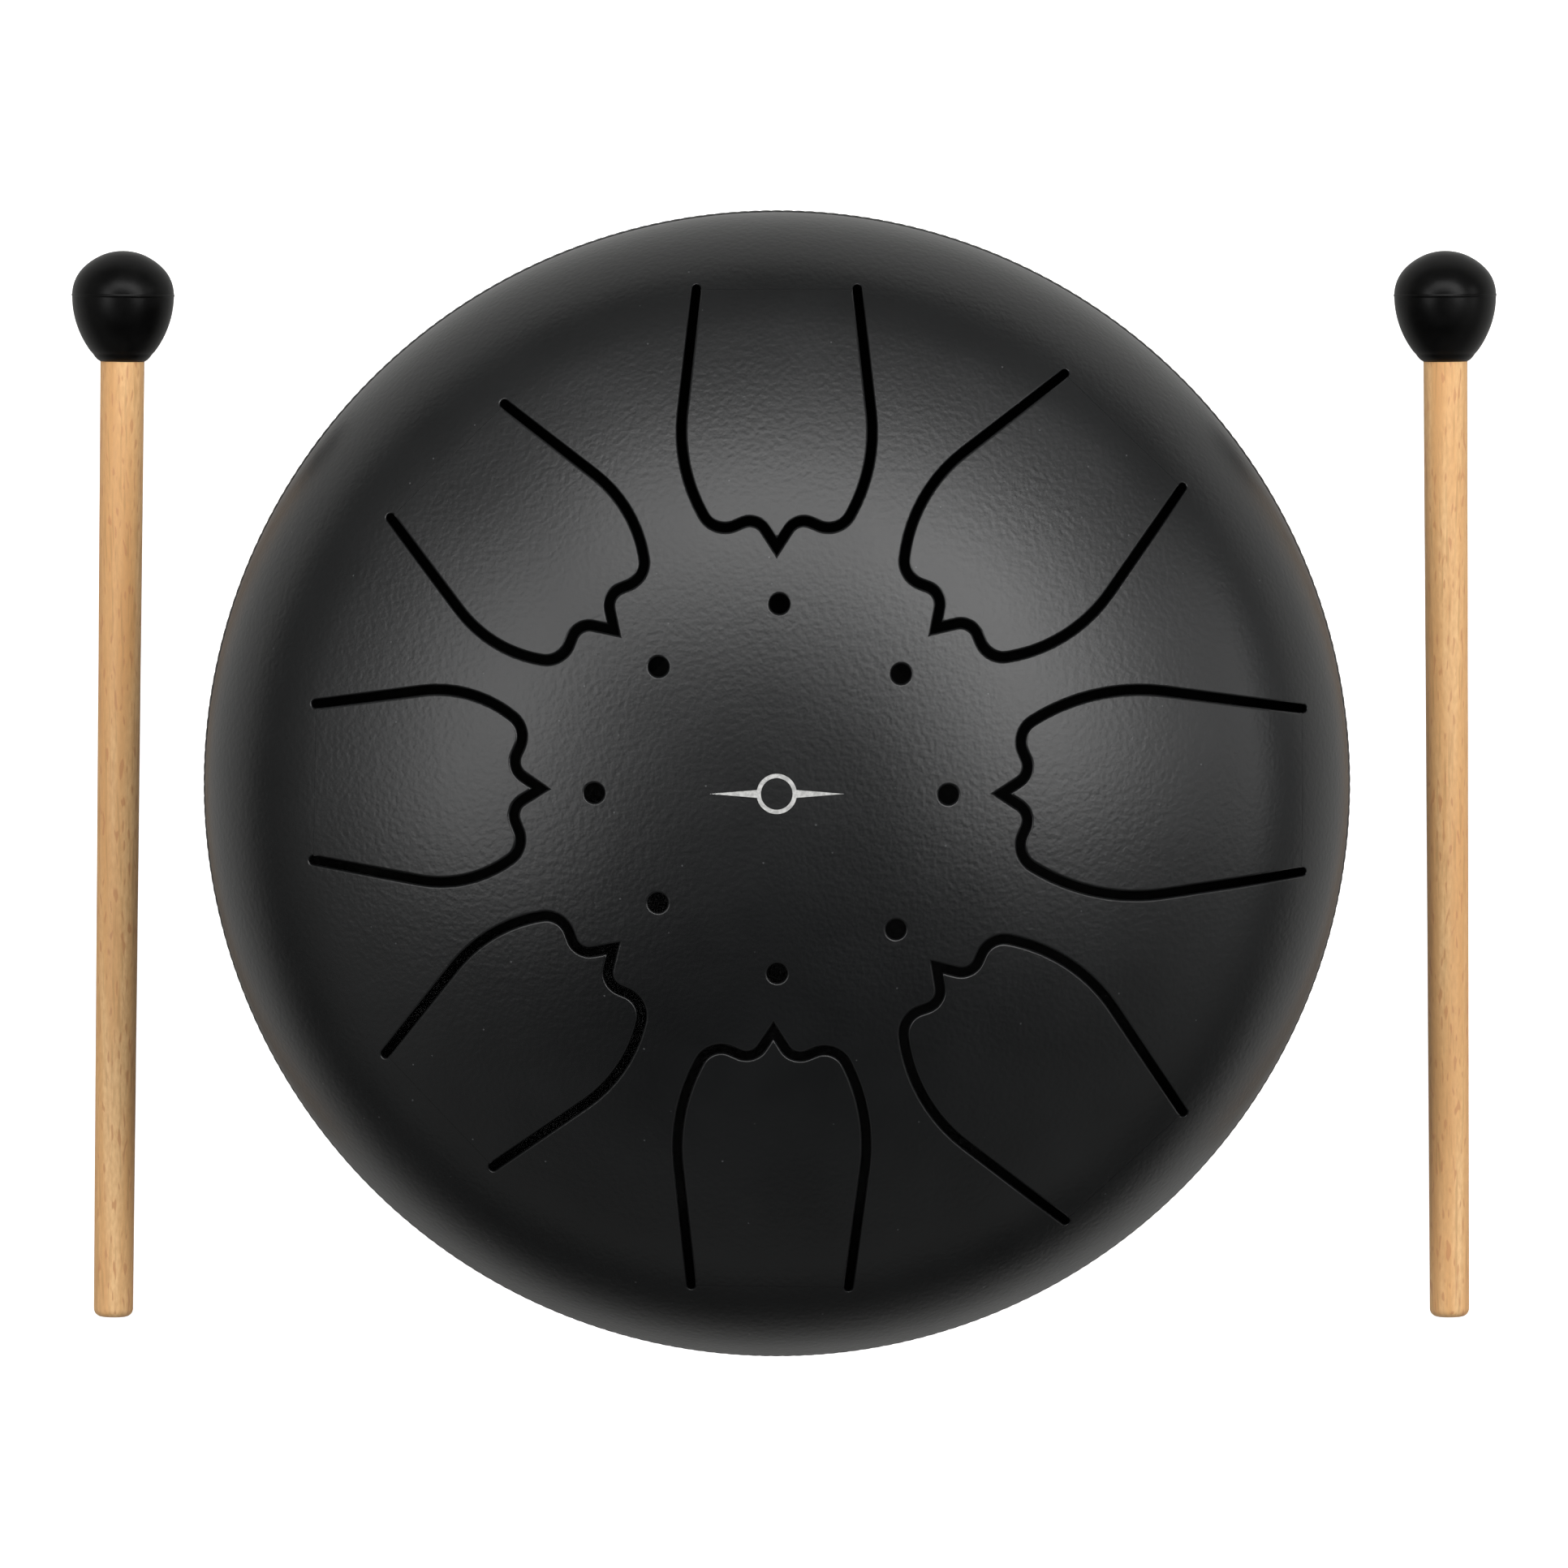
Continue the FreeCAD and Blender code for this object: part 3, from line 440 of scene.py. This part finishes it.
# A piece of the dome's sheet with the CAD outlines and its cut edges rounded over. Points at a tongue's
# root stay square, so that dome and tongue meet there without a line
def buildSheet(name, node, body, rootOf):
    rounding = dome["edgeRound"]
    outer, flags, seams = [], [], []
    for run in skinOutlines(node):
        seam = run[:, 2] < shoulderHeight - 0.01 * mm
        root = rootOf(run)  # first, as it can draw the root out
        flat, fixed = evenRun(flatten(run), seam | root, dome["outlineStep"])
        outer.append(flat)
        flags.append(fixed)
        seams.append(seam.all())
    shifts, outs = zip(*[sideways(flat) for flat in outer])
    tops = [flat + shift * rounding * ~fixed[:, None] for flat, shift, fixed in zip(outer, shifts, flags)]
    places, triangles = fillSheet(tops)

    skin, normals = onSkin(places)
    verts = [*skin]
    faces, faceNormals = [], []

    def addFace(corners, cornerNormals):
        kept = [k for k in range(len(corners)) if corners[k] != corners[k - 1]]
        if len(kept) > 2:
            faces.append([int(corners[k]) for k in kept])
            faceNormals.extend(cornerNormals[k] for k in kept)

    for face in triangles:
        addFace(face, [normals[i] for i in face])

    bottoms = {}
    start = 0
    for flat, fixed, shift, out, seam in zip(outer, flags, shifts, outs, seams):
        count = len(flat)
        onTop, topNormals = onSkin(flat)
        # the way out of the metal, level, as the cut is upright
        outward = np.column_stack([out, np.zeros(count)])
        rings = [(np.arange(start, start + count), topNormals)]
        for turn in quarterTurn(dome["edgeSteps"])[1:]:
            point, normal = onSkin(flat + shift * rounding * (1 - math.sin(turn)))
            point[:, 2] -= rounding * (1 - math.cos(turn)) / np.maximum(normal[:, 2], dome["steepest"])
            lean = normal * math.cos(turn) + outward * math.sin(turn)
            lean /= np.linalg.norm(lean, axis=1)[:, None]
            ring = np.where(fixed, rings[0][0], len(verts) + np.arange(count))
            verts.extend(point)
            rings.append((ring, lean))
        if seam:
            low = onTop.copy()
            across = low[:, :2] / np.hypot(low[:, 0], low[:, 1])[:, None]
            low[:, :2] = across * (shellRadius - dome["sheet"])
            outward = np.tile((0, 0, -1.0), (count, 1))
        else:
            low = underSkin(onTop, topNormals)
            low[fixed, :2] += shift[fixed] * dome["rootRelief"]
        bottom = len(verts) + np.arange(count)
        verts.extend(low)
        for k in range(count):
            n = (k + 1) % count
            for (upper, upperNormals), (lower, lowerNormals) in zip(rings, rings[1:]):
                addFace([upper[k], lower[k], lower[n], upper[n]],
                        [upperNormals[k], lowerNormals[k], lowerNormals[n], upperNormals[n]])
            last = rings[-1][0]
            addFace([last[k], bottom[k], bottom[n], last[n]],
                    [outward[k], outward[k], outward[n], outward[n]])
        bottoms.update(zip(range(start, start + count), bottom))
        start += count

    gridStart = len(verts)
    inner = underSkin(skin[start:], normals[start:])
    verts.extend(inner)
    bottoms.update((start + k, gridStart + k) for k in range(len(inner)))
    for face in triangles:
        addFace([bottoms[i] for i in reversed(face)], [-normals[i] for i in reversed(face)])

    mesh = bpy.data.meshes.new(name)
    used = sorted({i for face in faces for i in face})
    place = {i: k for k, i in enumerate(used)}
    mesh.from_pydata([Vector(verts[i]) for i in used], [], [[place[i] for i in face] for face in faces])
    mesh.polygons.foreach_set("use_smooth", [True] * len(faces))
    mesh.normals_split_custom_set([Vector(n).normalized() for n in faceNormals])
    piece = bpy.data.objects.new(name, mesh)
    bpy.context.scene.collection.objects.link(piece)
    mesh.materials.append(powderCoatedSteel)
    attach(piece, body)
    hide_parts(node)
    return piece


# a tongue's joint lies across its root, so it gives the way from the tip to the root
tongues = {}
for joint in frame["joints"]:
    if joint["name"].startswith("tongue"):
        way = np.array([-joint["axis"][1], joint["axis"][0]])
        skinPoints = max(skinOutlines(joint["child"]), key=len)
        tongues[joint["child"]] = (way, (skinPoints[:, :2] @ way).max() + dome["rootGap"])


# which points of the shell's outline lie on the root line of a tongue
def shellRoots(run):
    found = np.zeros(len(run), bool)
    for way, root in tongues.values():
        side = np.abs(run[:, :2] @ np.array([-way[1], way[0]]))
        onLine = np.abs(run[:, :2] @ way - root) < dome["near"]
        found |= onLine & (side < dome["rootHalfWidth"])
    # a window's tangent point can lie on the same line: only points with a neighbour on it count
    return found & (np.roll(found, 1) | np.roll(found, -1))


# the same for a tongue's own outline, whose root is also drawn out to close the gap to a hair
def tongueRoots(way, root):
    def find(run):
        along = run[:, :2] @ way
        found = along > root - dome["rootGap"] - dome["near"]
        run[found, :2] += way * (root - dome["rootClearance"] - along[found])[:, None]
        return found
    return find


buildSheet("domeSheet", "upper_shell", "drum", shellRoots)
for node, (way, root) in tongues.items():
    buildSheet(node + "Sheet", node, node, tongueRoots(way, root))
print("dome and tongues made")


# turns a profile of (place along the axis, radius) into a piece; uneven shifts each point a little
def turnPiece(name, profile, base, axis, segments, uneven):
    side = axis.cross(Vector((0, 0, 1))).normalized() if abs(axis.z) < 0.9 else Vector((1, 0, 0))
    across = axis.cross(side)
    if across.cross(side).dot(axis) > 0:
        across = -across
    verts, rings = [], []
    for along, radius in profile:
        if radius == 0:
            rings.append([len(verts)] * segments)
            verts.append(base + axis * along)
            continue
        rings.append(list(range(len(verts), len(verts) + segments)))
        for k in range(segments):
            turn = 2 * math.pi * k / segments
            shifted, grown = uneven(turn, along, radius)
            verts.append(base + axis * shifted + (side * math.cos(turn) + across * math.sin(turn)) * grown)
    faces = []
    for lower, upper in zip(rings, rings[1:]):
        for k in range(segments):
            n = (k + 1) % segments
            corners = [lower[k], lower[n], upper[n], upper[k]]
            faces.append([c for i, c in enumerate(corners) if c != corners[i - 1]])
    if profile[0][1] and profile[-1][1]:  # a closed ring section
        for k in range(segments):
            n = (k + 1) % segments
            faces.append([rings[-1][k], rings[-1][n], rings[0][n], rings[0][k]])
    mesh = bpy.data.meshes.new(name)
    mesh.from_pydata(verts, [], faces)
    mesh.polygons.foreach_set("use_smooth", [True] * len(faces))
    mesh.set_sharp_from_angle(angle=math.radians(50))
    piece = bpy.data.objects.new(name, mesh)
    bpy.context.scene.collection.objects.link(piece)
    return piece


# middle and direction of a turned CAD piece, from its corners
def spinAxis(node):
    corners = np.unique(np.round([v.co for v in frame["nodes"][node].data.vertices], 7), axis=0)
    middle = corners.mean(0)
    axis = np.linalg.eigh(np.cov((corners - middle).T))[1][:, -1]
    return middle, axis * math.copysign(1, axis[1])


# how far a surface falls short of true at one place, from nothing to the whole waver
def waver(sizes, seed, turn, place):
    around = sizes["waverRound"]
    spot = Vector((math.cos(turn) * around, math.sin(turn) * around + seed, place / sizes["waverLength"]))
    return sizes["waver"] * (0.5 + 0.5 * noise(spot))


# Rubber heads: the mould's parting line runs round the widest place, and a thin lip grips the handle
head = {
    "parting": 0.07 * mm, "partingWidth": 0.14 * mm, "partingSteps": 19, "steps": 84, "segments": 96,
    "lipRound": 0.35 * mm, "lip": 1.0 * mm, "lipGroove": 0.06 * mm, "grooveWidth": 0.25 * mm,
    "bore": 3.03 * mm, "boreDepth": 11.03 * mm, "margin": 0.1 * mm,
    "waver": 0.04 * mm, "waverLength": 4 * mm, "waverRound": 1.3, "seeds": {"left": 3.1, "right": 8.4},
}


def buildHead(side):
    node = f"{side}_mallet_head"
    middle, axis = spinAxis(f"{side}_mallet_handle")
    corners = np.array([v.co for v in frame["nodes"][node].data.vertices]) - middle
    along = corners @ axis
    radius = np.linalg.norm(corners - along[:, None] * axis, axis=1)
    base, nose = along.min(), along.max()
    pastBore = along > base + head["boreDepth"] + 2 * head["margin"]
    outside = (radius > head["bore"] + head["margin"]) | pastBore
    order = np.argsort(along[outside])
    knownAlong, knownRadius = along[outside][order], radius[outside][order]
    widest = knownAlong[knownRadius.argmax()]
    # close-set places near the parting line, the lip and the nose
    places = base + (nose - base) * (1 - np.cos(np.linspace(0, math.pi, head["steps"]))) / 2
    near = widest + head["partingWidth"] * np.linspace(-3, 3, head["partingSteps"])
    places = np.unique(np.round(np.concatenate([places, near]), 8))
    blindEnd = base + head["boreDepth"]
    profile = [(blindEnd, 0.0), (blindEnd, head["bore"]), (base, head["bore"])]
    for place in places[:-1]:
        out = np.interp(place, knownAlong, knownRadius)
        bulge = math.exp(-((place - widest) / head["partingWidth"]) ** 2)
        out -= head["parting"] * (1 - bulge) * min(1, (nose - place) / mm)
        rise = max(place - base, 0.0)
        if rise < head["lipRound"]:
            out -= head["lipRound"] - math.sqrt(head["lipRound"] ** 2 - (head["lipRound"] - rise) ** 2)
        out -= head["lipGroove"] * math.exp(-((rise - head["lip"]) / head["grooveWidth"]) ** 2)
        profile.append((place, out))
    profile.append((nose, 0.0))

    # moulded rubber is never quite true: its outside wavers a little
    def uneven(turn, place, radius):
        outer = radius > head["bore"] + 2 * head["margin"]
        return place, radius - waver(head, head["seeds"][side], turn, place) * outer

    piece = turnPiece(f"{side}MalletRubber", profile, Vector(middle), Vector(axis), head["segments"], uneven)
    piece.data.materials.append(headRubber)
    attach(piece, f"{side}_mallet")
    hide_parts(node)


for side in ("left", "right"):
    buildHead(side)
print("mallet heads made")

# Handles: dowels turned to a slight taper, with the faint waver of the cutter and a rounded free end
handle = {
    "tailRadius": 2.7 * mm, "topRadius": 3.0 * mm, "tailRound": 1.1 * mm, "bore": 11 * mm,
    "tailSteps": 8, "step": 1.5 * mm, "segments": 48,
    "waver": 0.03 * mm, "waverLength": 9 * mm, "waverRound": 0.8, "seeds": {"left": 1.7, "right": 6.2},
}


def buildHandle(side):
    node = f"{side}_mallet_handle"
    middle, axis = spinAxis(node)
    along = (np.array([v.co for v in frame["nodes"][node].data.vertices]) - middle) @ axis
    tail, top = along.min(), along.max()
    profile = [(tail, 0.0)]
    for turn in quarterTurn(handle["tailSteps"]):
        profile.append((tail + handle["tailRound"] * (1 - math.cos(turn)),
                        handle["tailRadius"] - handle["tailRound"] * (1 - math.sin(turn))))
    start, end = tail + handle["tailRound"], top - handle["bore"]
    for place in np.arange(start + handle["step"], top, handle["step"]):
        share = min((place - start) / (end - start), 1)
        profile.append((place, handle["tailRadius"] + (handle["topRadius"] - handle["tailRadius"]) * share))
    profile += [(top, handle["topRadius"]), (top, 0.0)]

    def uneven(turn, place, radius):
        return place, radius - waver(handle, handle["seeds"][side], turn, place)

    piece = turnPiece(f"{side}MalletHandle", profile, Vector(middle), Vector(axis), handle["segments"],
                      uneven)
    piece.data.materials.append(turnedBeech)
    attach(piece, f"{side}_mallet")
    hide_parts(node)


for side in ("left", "right"):
    buildHandle(side)
print("mallet handles made")

# Feet: moulded rubber pads whose seat follows the bottom, with a moulded ring, a hollow under the tread and
# a stem and bulb that hold them in the shell
foot = {
    "radius": 7.5 * mm, "draft": 0.25 * mm, "edge": 1.5 * mm, "edgeSteps": 7, "wallSteps": 25, "segments": 64,
    "hollow": 3.2 * mm, "hollowDepth": 0.9 * mm, "hollowTaper": 0.25, "hollowSteps": 6,
    "ring": 0.4 * mm, "ringDrop": 1.6 * mm, "ringWidth": 0.35 * mm,
    "stem": 3 * mm, "bulb": 4.2 * mm, "bulbHeight": 3.5 * mm,
    # heights over the bulb's base, with the share of its radius that each has
    "bulbShape": [(0, 0.92), (0.4 * mm, 1), (3.0 * mm, 0.83), (3.5 * mm, 0.68)],
    "bottomCap": 172 * mm, "soundHole": 22 * mm,
}
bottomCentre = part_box("lower_shell")[0].z + math.sqrt(foot["bottomCap"] ** 2 - foot["soundHole"] ** 2)


def buildFoot(number):
    node = f"foot_{number}"
    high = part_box(node)[1]
    corners = np.array([v.co for v in frame["nodes"][node].data.vertices])
    middle = corners[corners[:, 2] < 0.02 * mm][:, :2].mean(0)  # of the flat face on the floor
    place = Vector((middle[0], middle[1], 0))

    def seat(x, y):
        return bottomCentre - math.sqrt(foot["bottomCap"] ** 2 - x * x - y * y)

    rest = seat(*middle)
    profile = [(foot["hollowDepth"], 0.0)]
    for turn in quarterTurn(foot["hollowSteps"]):
        profile.append((foot["hollowDepth"] * (1 - math.sin(turn)),
                        foot["hollow"] * (1 - foot["hollowTaper"] * math.cos(turn))))
    for turn in quarterTurn(foot["edgeSteps"]):
        profile.append((foot["edge"] * (1 - math.cos(turn)),
                        foot["radius"] - foot["draft"] - foot["edge"] * (1 - math.sin(turn))))
    for rise in np.linspace(foot["edge"], rest, foot["wallSteps"] + 1)[1:]:
        drafted = foot["radius"] - foot["draft"] * (rest - rise) / rest
        groove = foot["ring"] * math.exp(-((rest - rise - foot["ringDrop"]) / foot["ringWidth"]) ** 2)
        profile.append((rise, drafted - groove))
    bulbBase = high.z - foot["bulbHeight"]
    profile += [(rest, foot["stem"]), (bulbBase, foot["stem"])]
    profile += [(bulbBase + rise, foot["bulb"] * share) for rise, share in foot["bulbShape"]]
    profile.append((high.z, 0.0))

    # the top of the wall rises and falls to follow the rounded bottom
    def uneven(turn, rise, radius):
        if rise > rest + 1e-6 or rise < foot["edge"]:
            return rise, radius
        x, y = middle[0] + radius * math.cos(turn), middle[1] + radius * math.sin(turn)
        return rise + (seat(x, y) - rest) * (rise / rest) ** 2, radius

    piece = turnPiece(f"footRubber{number}", profile, place, Vector((0, 0, 1)), foot["segments"], uneven)
    piece.data.materials.append(footRubber)
    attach(piece, "drum")
    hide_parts(node)


for number in range(1, 5):
    buildFoot(number)
print("feet made")

# The seam: a narrow weld bead, laid in short overlapping pools and blurred by the coat
weld = {
    "rise": 0.3 * mm, "sink": 0.02 * mm, "toe": 0.01 * mm, "steps": 9, "waver": 0.1 * mm,
    "pool": 1.5 * mm, "poolDepth": 0.07 * mm, "poolBow": 0.35, "poolCrest": 0.6, "poolSteps": 6,
}


def buildWeld():
    low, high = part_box("seam_weld")
    middle = (low.z + high.z) / 2
    half = (high.z - low.z) / 2
    inner = shellRadius - weld["sink"]
    profile = [(middle - half, inner)]
    for k in range(weld["steps"] + 1):
        turn = math.pi * k / weld["steps"]
        profile.append((middle - half * math.cos(turn),
                        shellRadius + weld["toe"] + weld["rise"] * math.sin(turn)))
    profile.append((middle + half, inner))
    pools = round(2 * math.pi * shellRadius / weld["pool"])

    def uneven(turn, place, radius):
        bowed = (place - middle) / half
        phase = (turn * pools / (2 * math.pi) + weld["poolBow"] * bowed * bowed) % 1
        crest = abs(math.sin(math.pi * phase)) ** weld["poolCrest"]
        proud = max(0.0, radius - shellRadius)
        drift = weld["waver"] * noise(Vector((math.cos(turn) * 9, math.sin(turn) * 9, 2.0)))
        return place + drift * abs(bowed) * 0.5, radius - min(proud, weld["poolDepth"]) * (1 - crest)

    segments = pools * weld["poolSteps"]
    piece = turnPiece("seamBead", profile, Vector((0, 0, 0)), Vector((0, 0, 1)), segments, uneven)
    piece.data.materials.append(powderCoatedSteel)
    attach(piece, "drum")
    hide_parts("seam_weld")


buildWeld()
print("seam weld made")

# Floor, light and camera. Three softboxes stand in an arc on the far side and a low strip to the right
studio = {
    "floorSize": 16.0, "floorGap": 0.02 * mm, "paperColour": "#c6c6c4", "paperShade": "#cececc",
    "paperMiddle": (0.05, 0.35, 0), "paperRadius": 455 * mm,
    # the table's dark colour, also used as painted shade on the floor below the sound hole
    "tableAndPaintedShadeColour": "#2c2c2c", "tableRadius": 590 * mm,
    "holeShadeInner": 24 * mm, "holeShadeOuter": 40 * mm,  # painted shade: the floor's colour is dark below the sound hole
    "shadeInner": 58 * mm, "shadeOuter": 75 * mm,  # and has no glow under the drum
    "room": "#09090a", "wall": "#8e8e8c", "backdrop": "#ffffff",
    "softboxes": [
        {"azimuth": 23, "lean": 34, "size": (0.60, 0.36), "power": 4.0},
        {"azimuth": 90, "lean": 33, "size": (0.84, 0.34), "power": 5.1},
        {"azimuth": 168, "lean": 37, "size": (0.60, 0.34), "power": 2.9},
        {"azimuth": 8, "lean": 68, "size": (0.50, 0.26), "power": 0.8},
    ],
    "lightDistance": 0.95, "lightAim": (0, 0, 0.04),
}


def makeFloor():
    material, tree, shader, place = newMaterial("paleFloor")
    cloud = addNode(tree, "TexNoise", {"Scale": 1.5, "Detail": 2.0}, {"Vector": place})
    tone = addNode(tree, "ValToRGB", {"stops": [(0.3, studio["paperColour"]), (0.7, studio["paperShade"])]},
                   {"Fac": cloud.outputs["Fac"]})
    # the paper runs back behind the drum and ends close in front of it, where the table stays dark
    inPaper = addNode(tree, "VectorMath", {"operation": "DISTANCE", 1: studio["paperMiddle"]}, {0: place})
    beyond = addNode(tree, "MapRange",
                     {"From Min": studio["paperRadius"], "From Max": studio["tableRadius"]},
                     {"Value": inPaper.outputs["Value"]})
    ground = addNode(tree, "Mix", {"data_type": "RGBA", 7: studio["tableAndPaintedShadeColour"]},
                     {0: beyond.outputs["Result"], 6: tone.outputs["Color"]})
    # and painted shade darkens it below the sound hole, in the drum's shadow, or it would show through the
    # note holes
    out = addNode(tree, "VectorMath", {"operation": "LENGTH"}, {0: place})
    besideHole = addNode(tree, "MapRange",
                         {"From Min": studio["holeShadeInner"], "From Max": studio["holeShadeOuter"]},
                         {"Value": out.outputs["Value"]})
    shaded = addNode(tree, "Mix", {"data_type": "RGBA", 6: studio["tableAndPaintedShadeColour"]},
                     {0: besideHole.outputs["Result"], 7: ground.outputs[2]})
    tree.links.new(shaded.outputs[2], shader.inputs["Base Color"])
    shader.inputs["Roughness"].default_value = 0.8
    shader.inputs["Emission Color"].default_value = (1, 1, 1, 1)
    # paper burnt out to white for the lens, and still a mid tone where the drum mirrors it
    seen = addNode(tree, "LightPath", {})
    uncovered = addNode(tree, "MapRange",
                        {"From Min": studio["shadeInner"], "From Max": studio["shadeOuter"]},
                        {"Value": out.outputs["Value"]})
    glow = addNode(tree, "Math", {"operation": "MULTIPLY"},
                   {0: seen.outputs["Is Camera Ray"], 1: uncovered.outputs["Result"]})
    tree.links.new(glow.outputs["Value"], shader.inputs["Emission Strength"])
    half = studio["floorSize"] / 2
    corners = [(-half, -half, 0), (half, -half, 0), (half, half, 0), (-half, half, 0)]
    mesh = bpy.data.meshes.new("floor")
    mesh.from_pydata(corners, [], [(0, 1, 2, 3)])
    mesh.materials.append(material)
    floor = bpy.data.objects.new("floor", mesh)
    floor.location.z = cadBox[0].z - studio["floorGap"]
    bpy.context.scene.collection.objects.link(floor)


def makeSoftbox(number, box):
    azimuth, lean = math.radians(box["azimuth"]), math.radians(box["lean"])
    out = Vector((math.cos(azimuth), math.sin(azimuth), 0))
    toward = out * math.sin(lean) + Vector((0, 0, math.cos(lean)))
    lamp = bpy.data.lights.new(f"softbox{number}", "AREA")
    lamp.shape = "RECTANGLE"
    lamp.size, lamp.size_y = box["size"]
    lamp.energy = box["power"]
    holder = bpy.data.objects.new(f"softbox{number}", lamp)
    side = Vector((-math.sin(azimuth), math.cos(azimuth), 0))
    turned = Matrix((side, toward.cross(side), toward)).transposed().to_4x4()
    place = Vector(studio["lightAim"]) + toward * studio["lightDistance"]
    holder.matrix_world = Matrix.Translation(place) @ turned
    bpy.context.scene.collection.objects.link(holder)


def makeRoom():
    world = bpy.data.worlds.new("room")
    bpy.context.scene.world = world
    world.use_nodes = True
    tree = world.node_tree
    back = tree.nodes["Background"]
    way = addNode(tree, "TexCoord", {}).outputs["Generated"]
    parts = addNode(tree, "SeparateXYZ", {}, {"Vector": way})
    # dark at the floor, a band of dim wall, and dark again overhead
    band = [(0.02, studio["room"]), (0.2, studio["wall"]), (0.5, studio["wall"]), (0.7, studio["room"])]
    tone = addNode(tree, "ValToRGB", {"stops": band}, {"Fac": parts.outputs["Z"]})
    seen = addNode(tree, "LightPath", {})
    shown = addNode(tree, "Mix", {"data_type": "RGBA", 7: studio["backdrop"]},
                    {0: seen.outputs["Is Camera Ray"], 6: tone.outputs["Color"]})
    tree.links.new(shown.outputs[2], back.inputs["Color"])


makeFloor()
for number, box in enumerate(studio["softboxes"], 1):
    makeSoftbox(number, box)
makeRoom()
bpy.context.scene.view_settings.view_transform = "Standard"

view = {"distance": 1.5, "tilt": 1.7, "lens": 259.1, "aside": 0.94 * mm, "height": 39.9 * mm}
tilt = math.radians(view["tilt"])
back = Vector((0, math.sin(tilt), math.cos(tilt)))
lens = bpy.data.cameras.new("camera")
lens.lens = view["lens"]
lens.clip_start, lens.clip_end = 0.01, 50
camera = bpy.data.objects.new("camera", lens)
bpy.context.scene.collection.objects.link(camera)
across, upward = Vector((1, 0, 0)), Vector((0, math.cos(tilt), -math.sin(tilt)))
place = Vector((view["aside"], 0, view["height"])) + back * view["distance"]
turned = Matrix((across, upward, back)).transposed().to_4x4()
camera.matrix_world = Matrix.Translation(place) @ turned
bpy.context.scene.camera = camera
print("floor, light and camera placed")
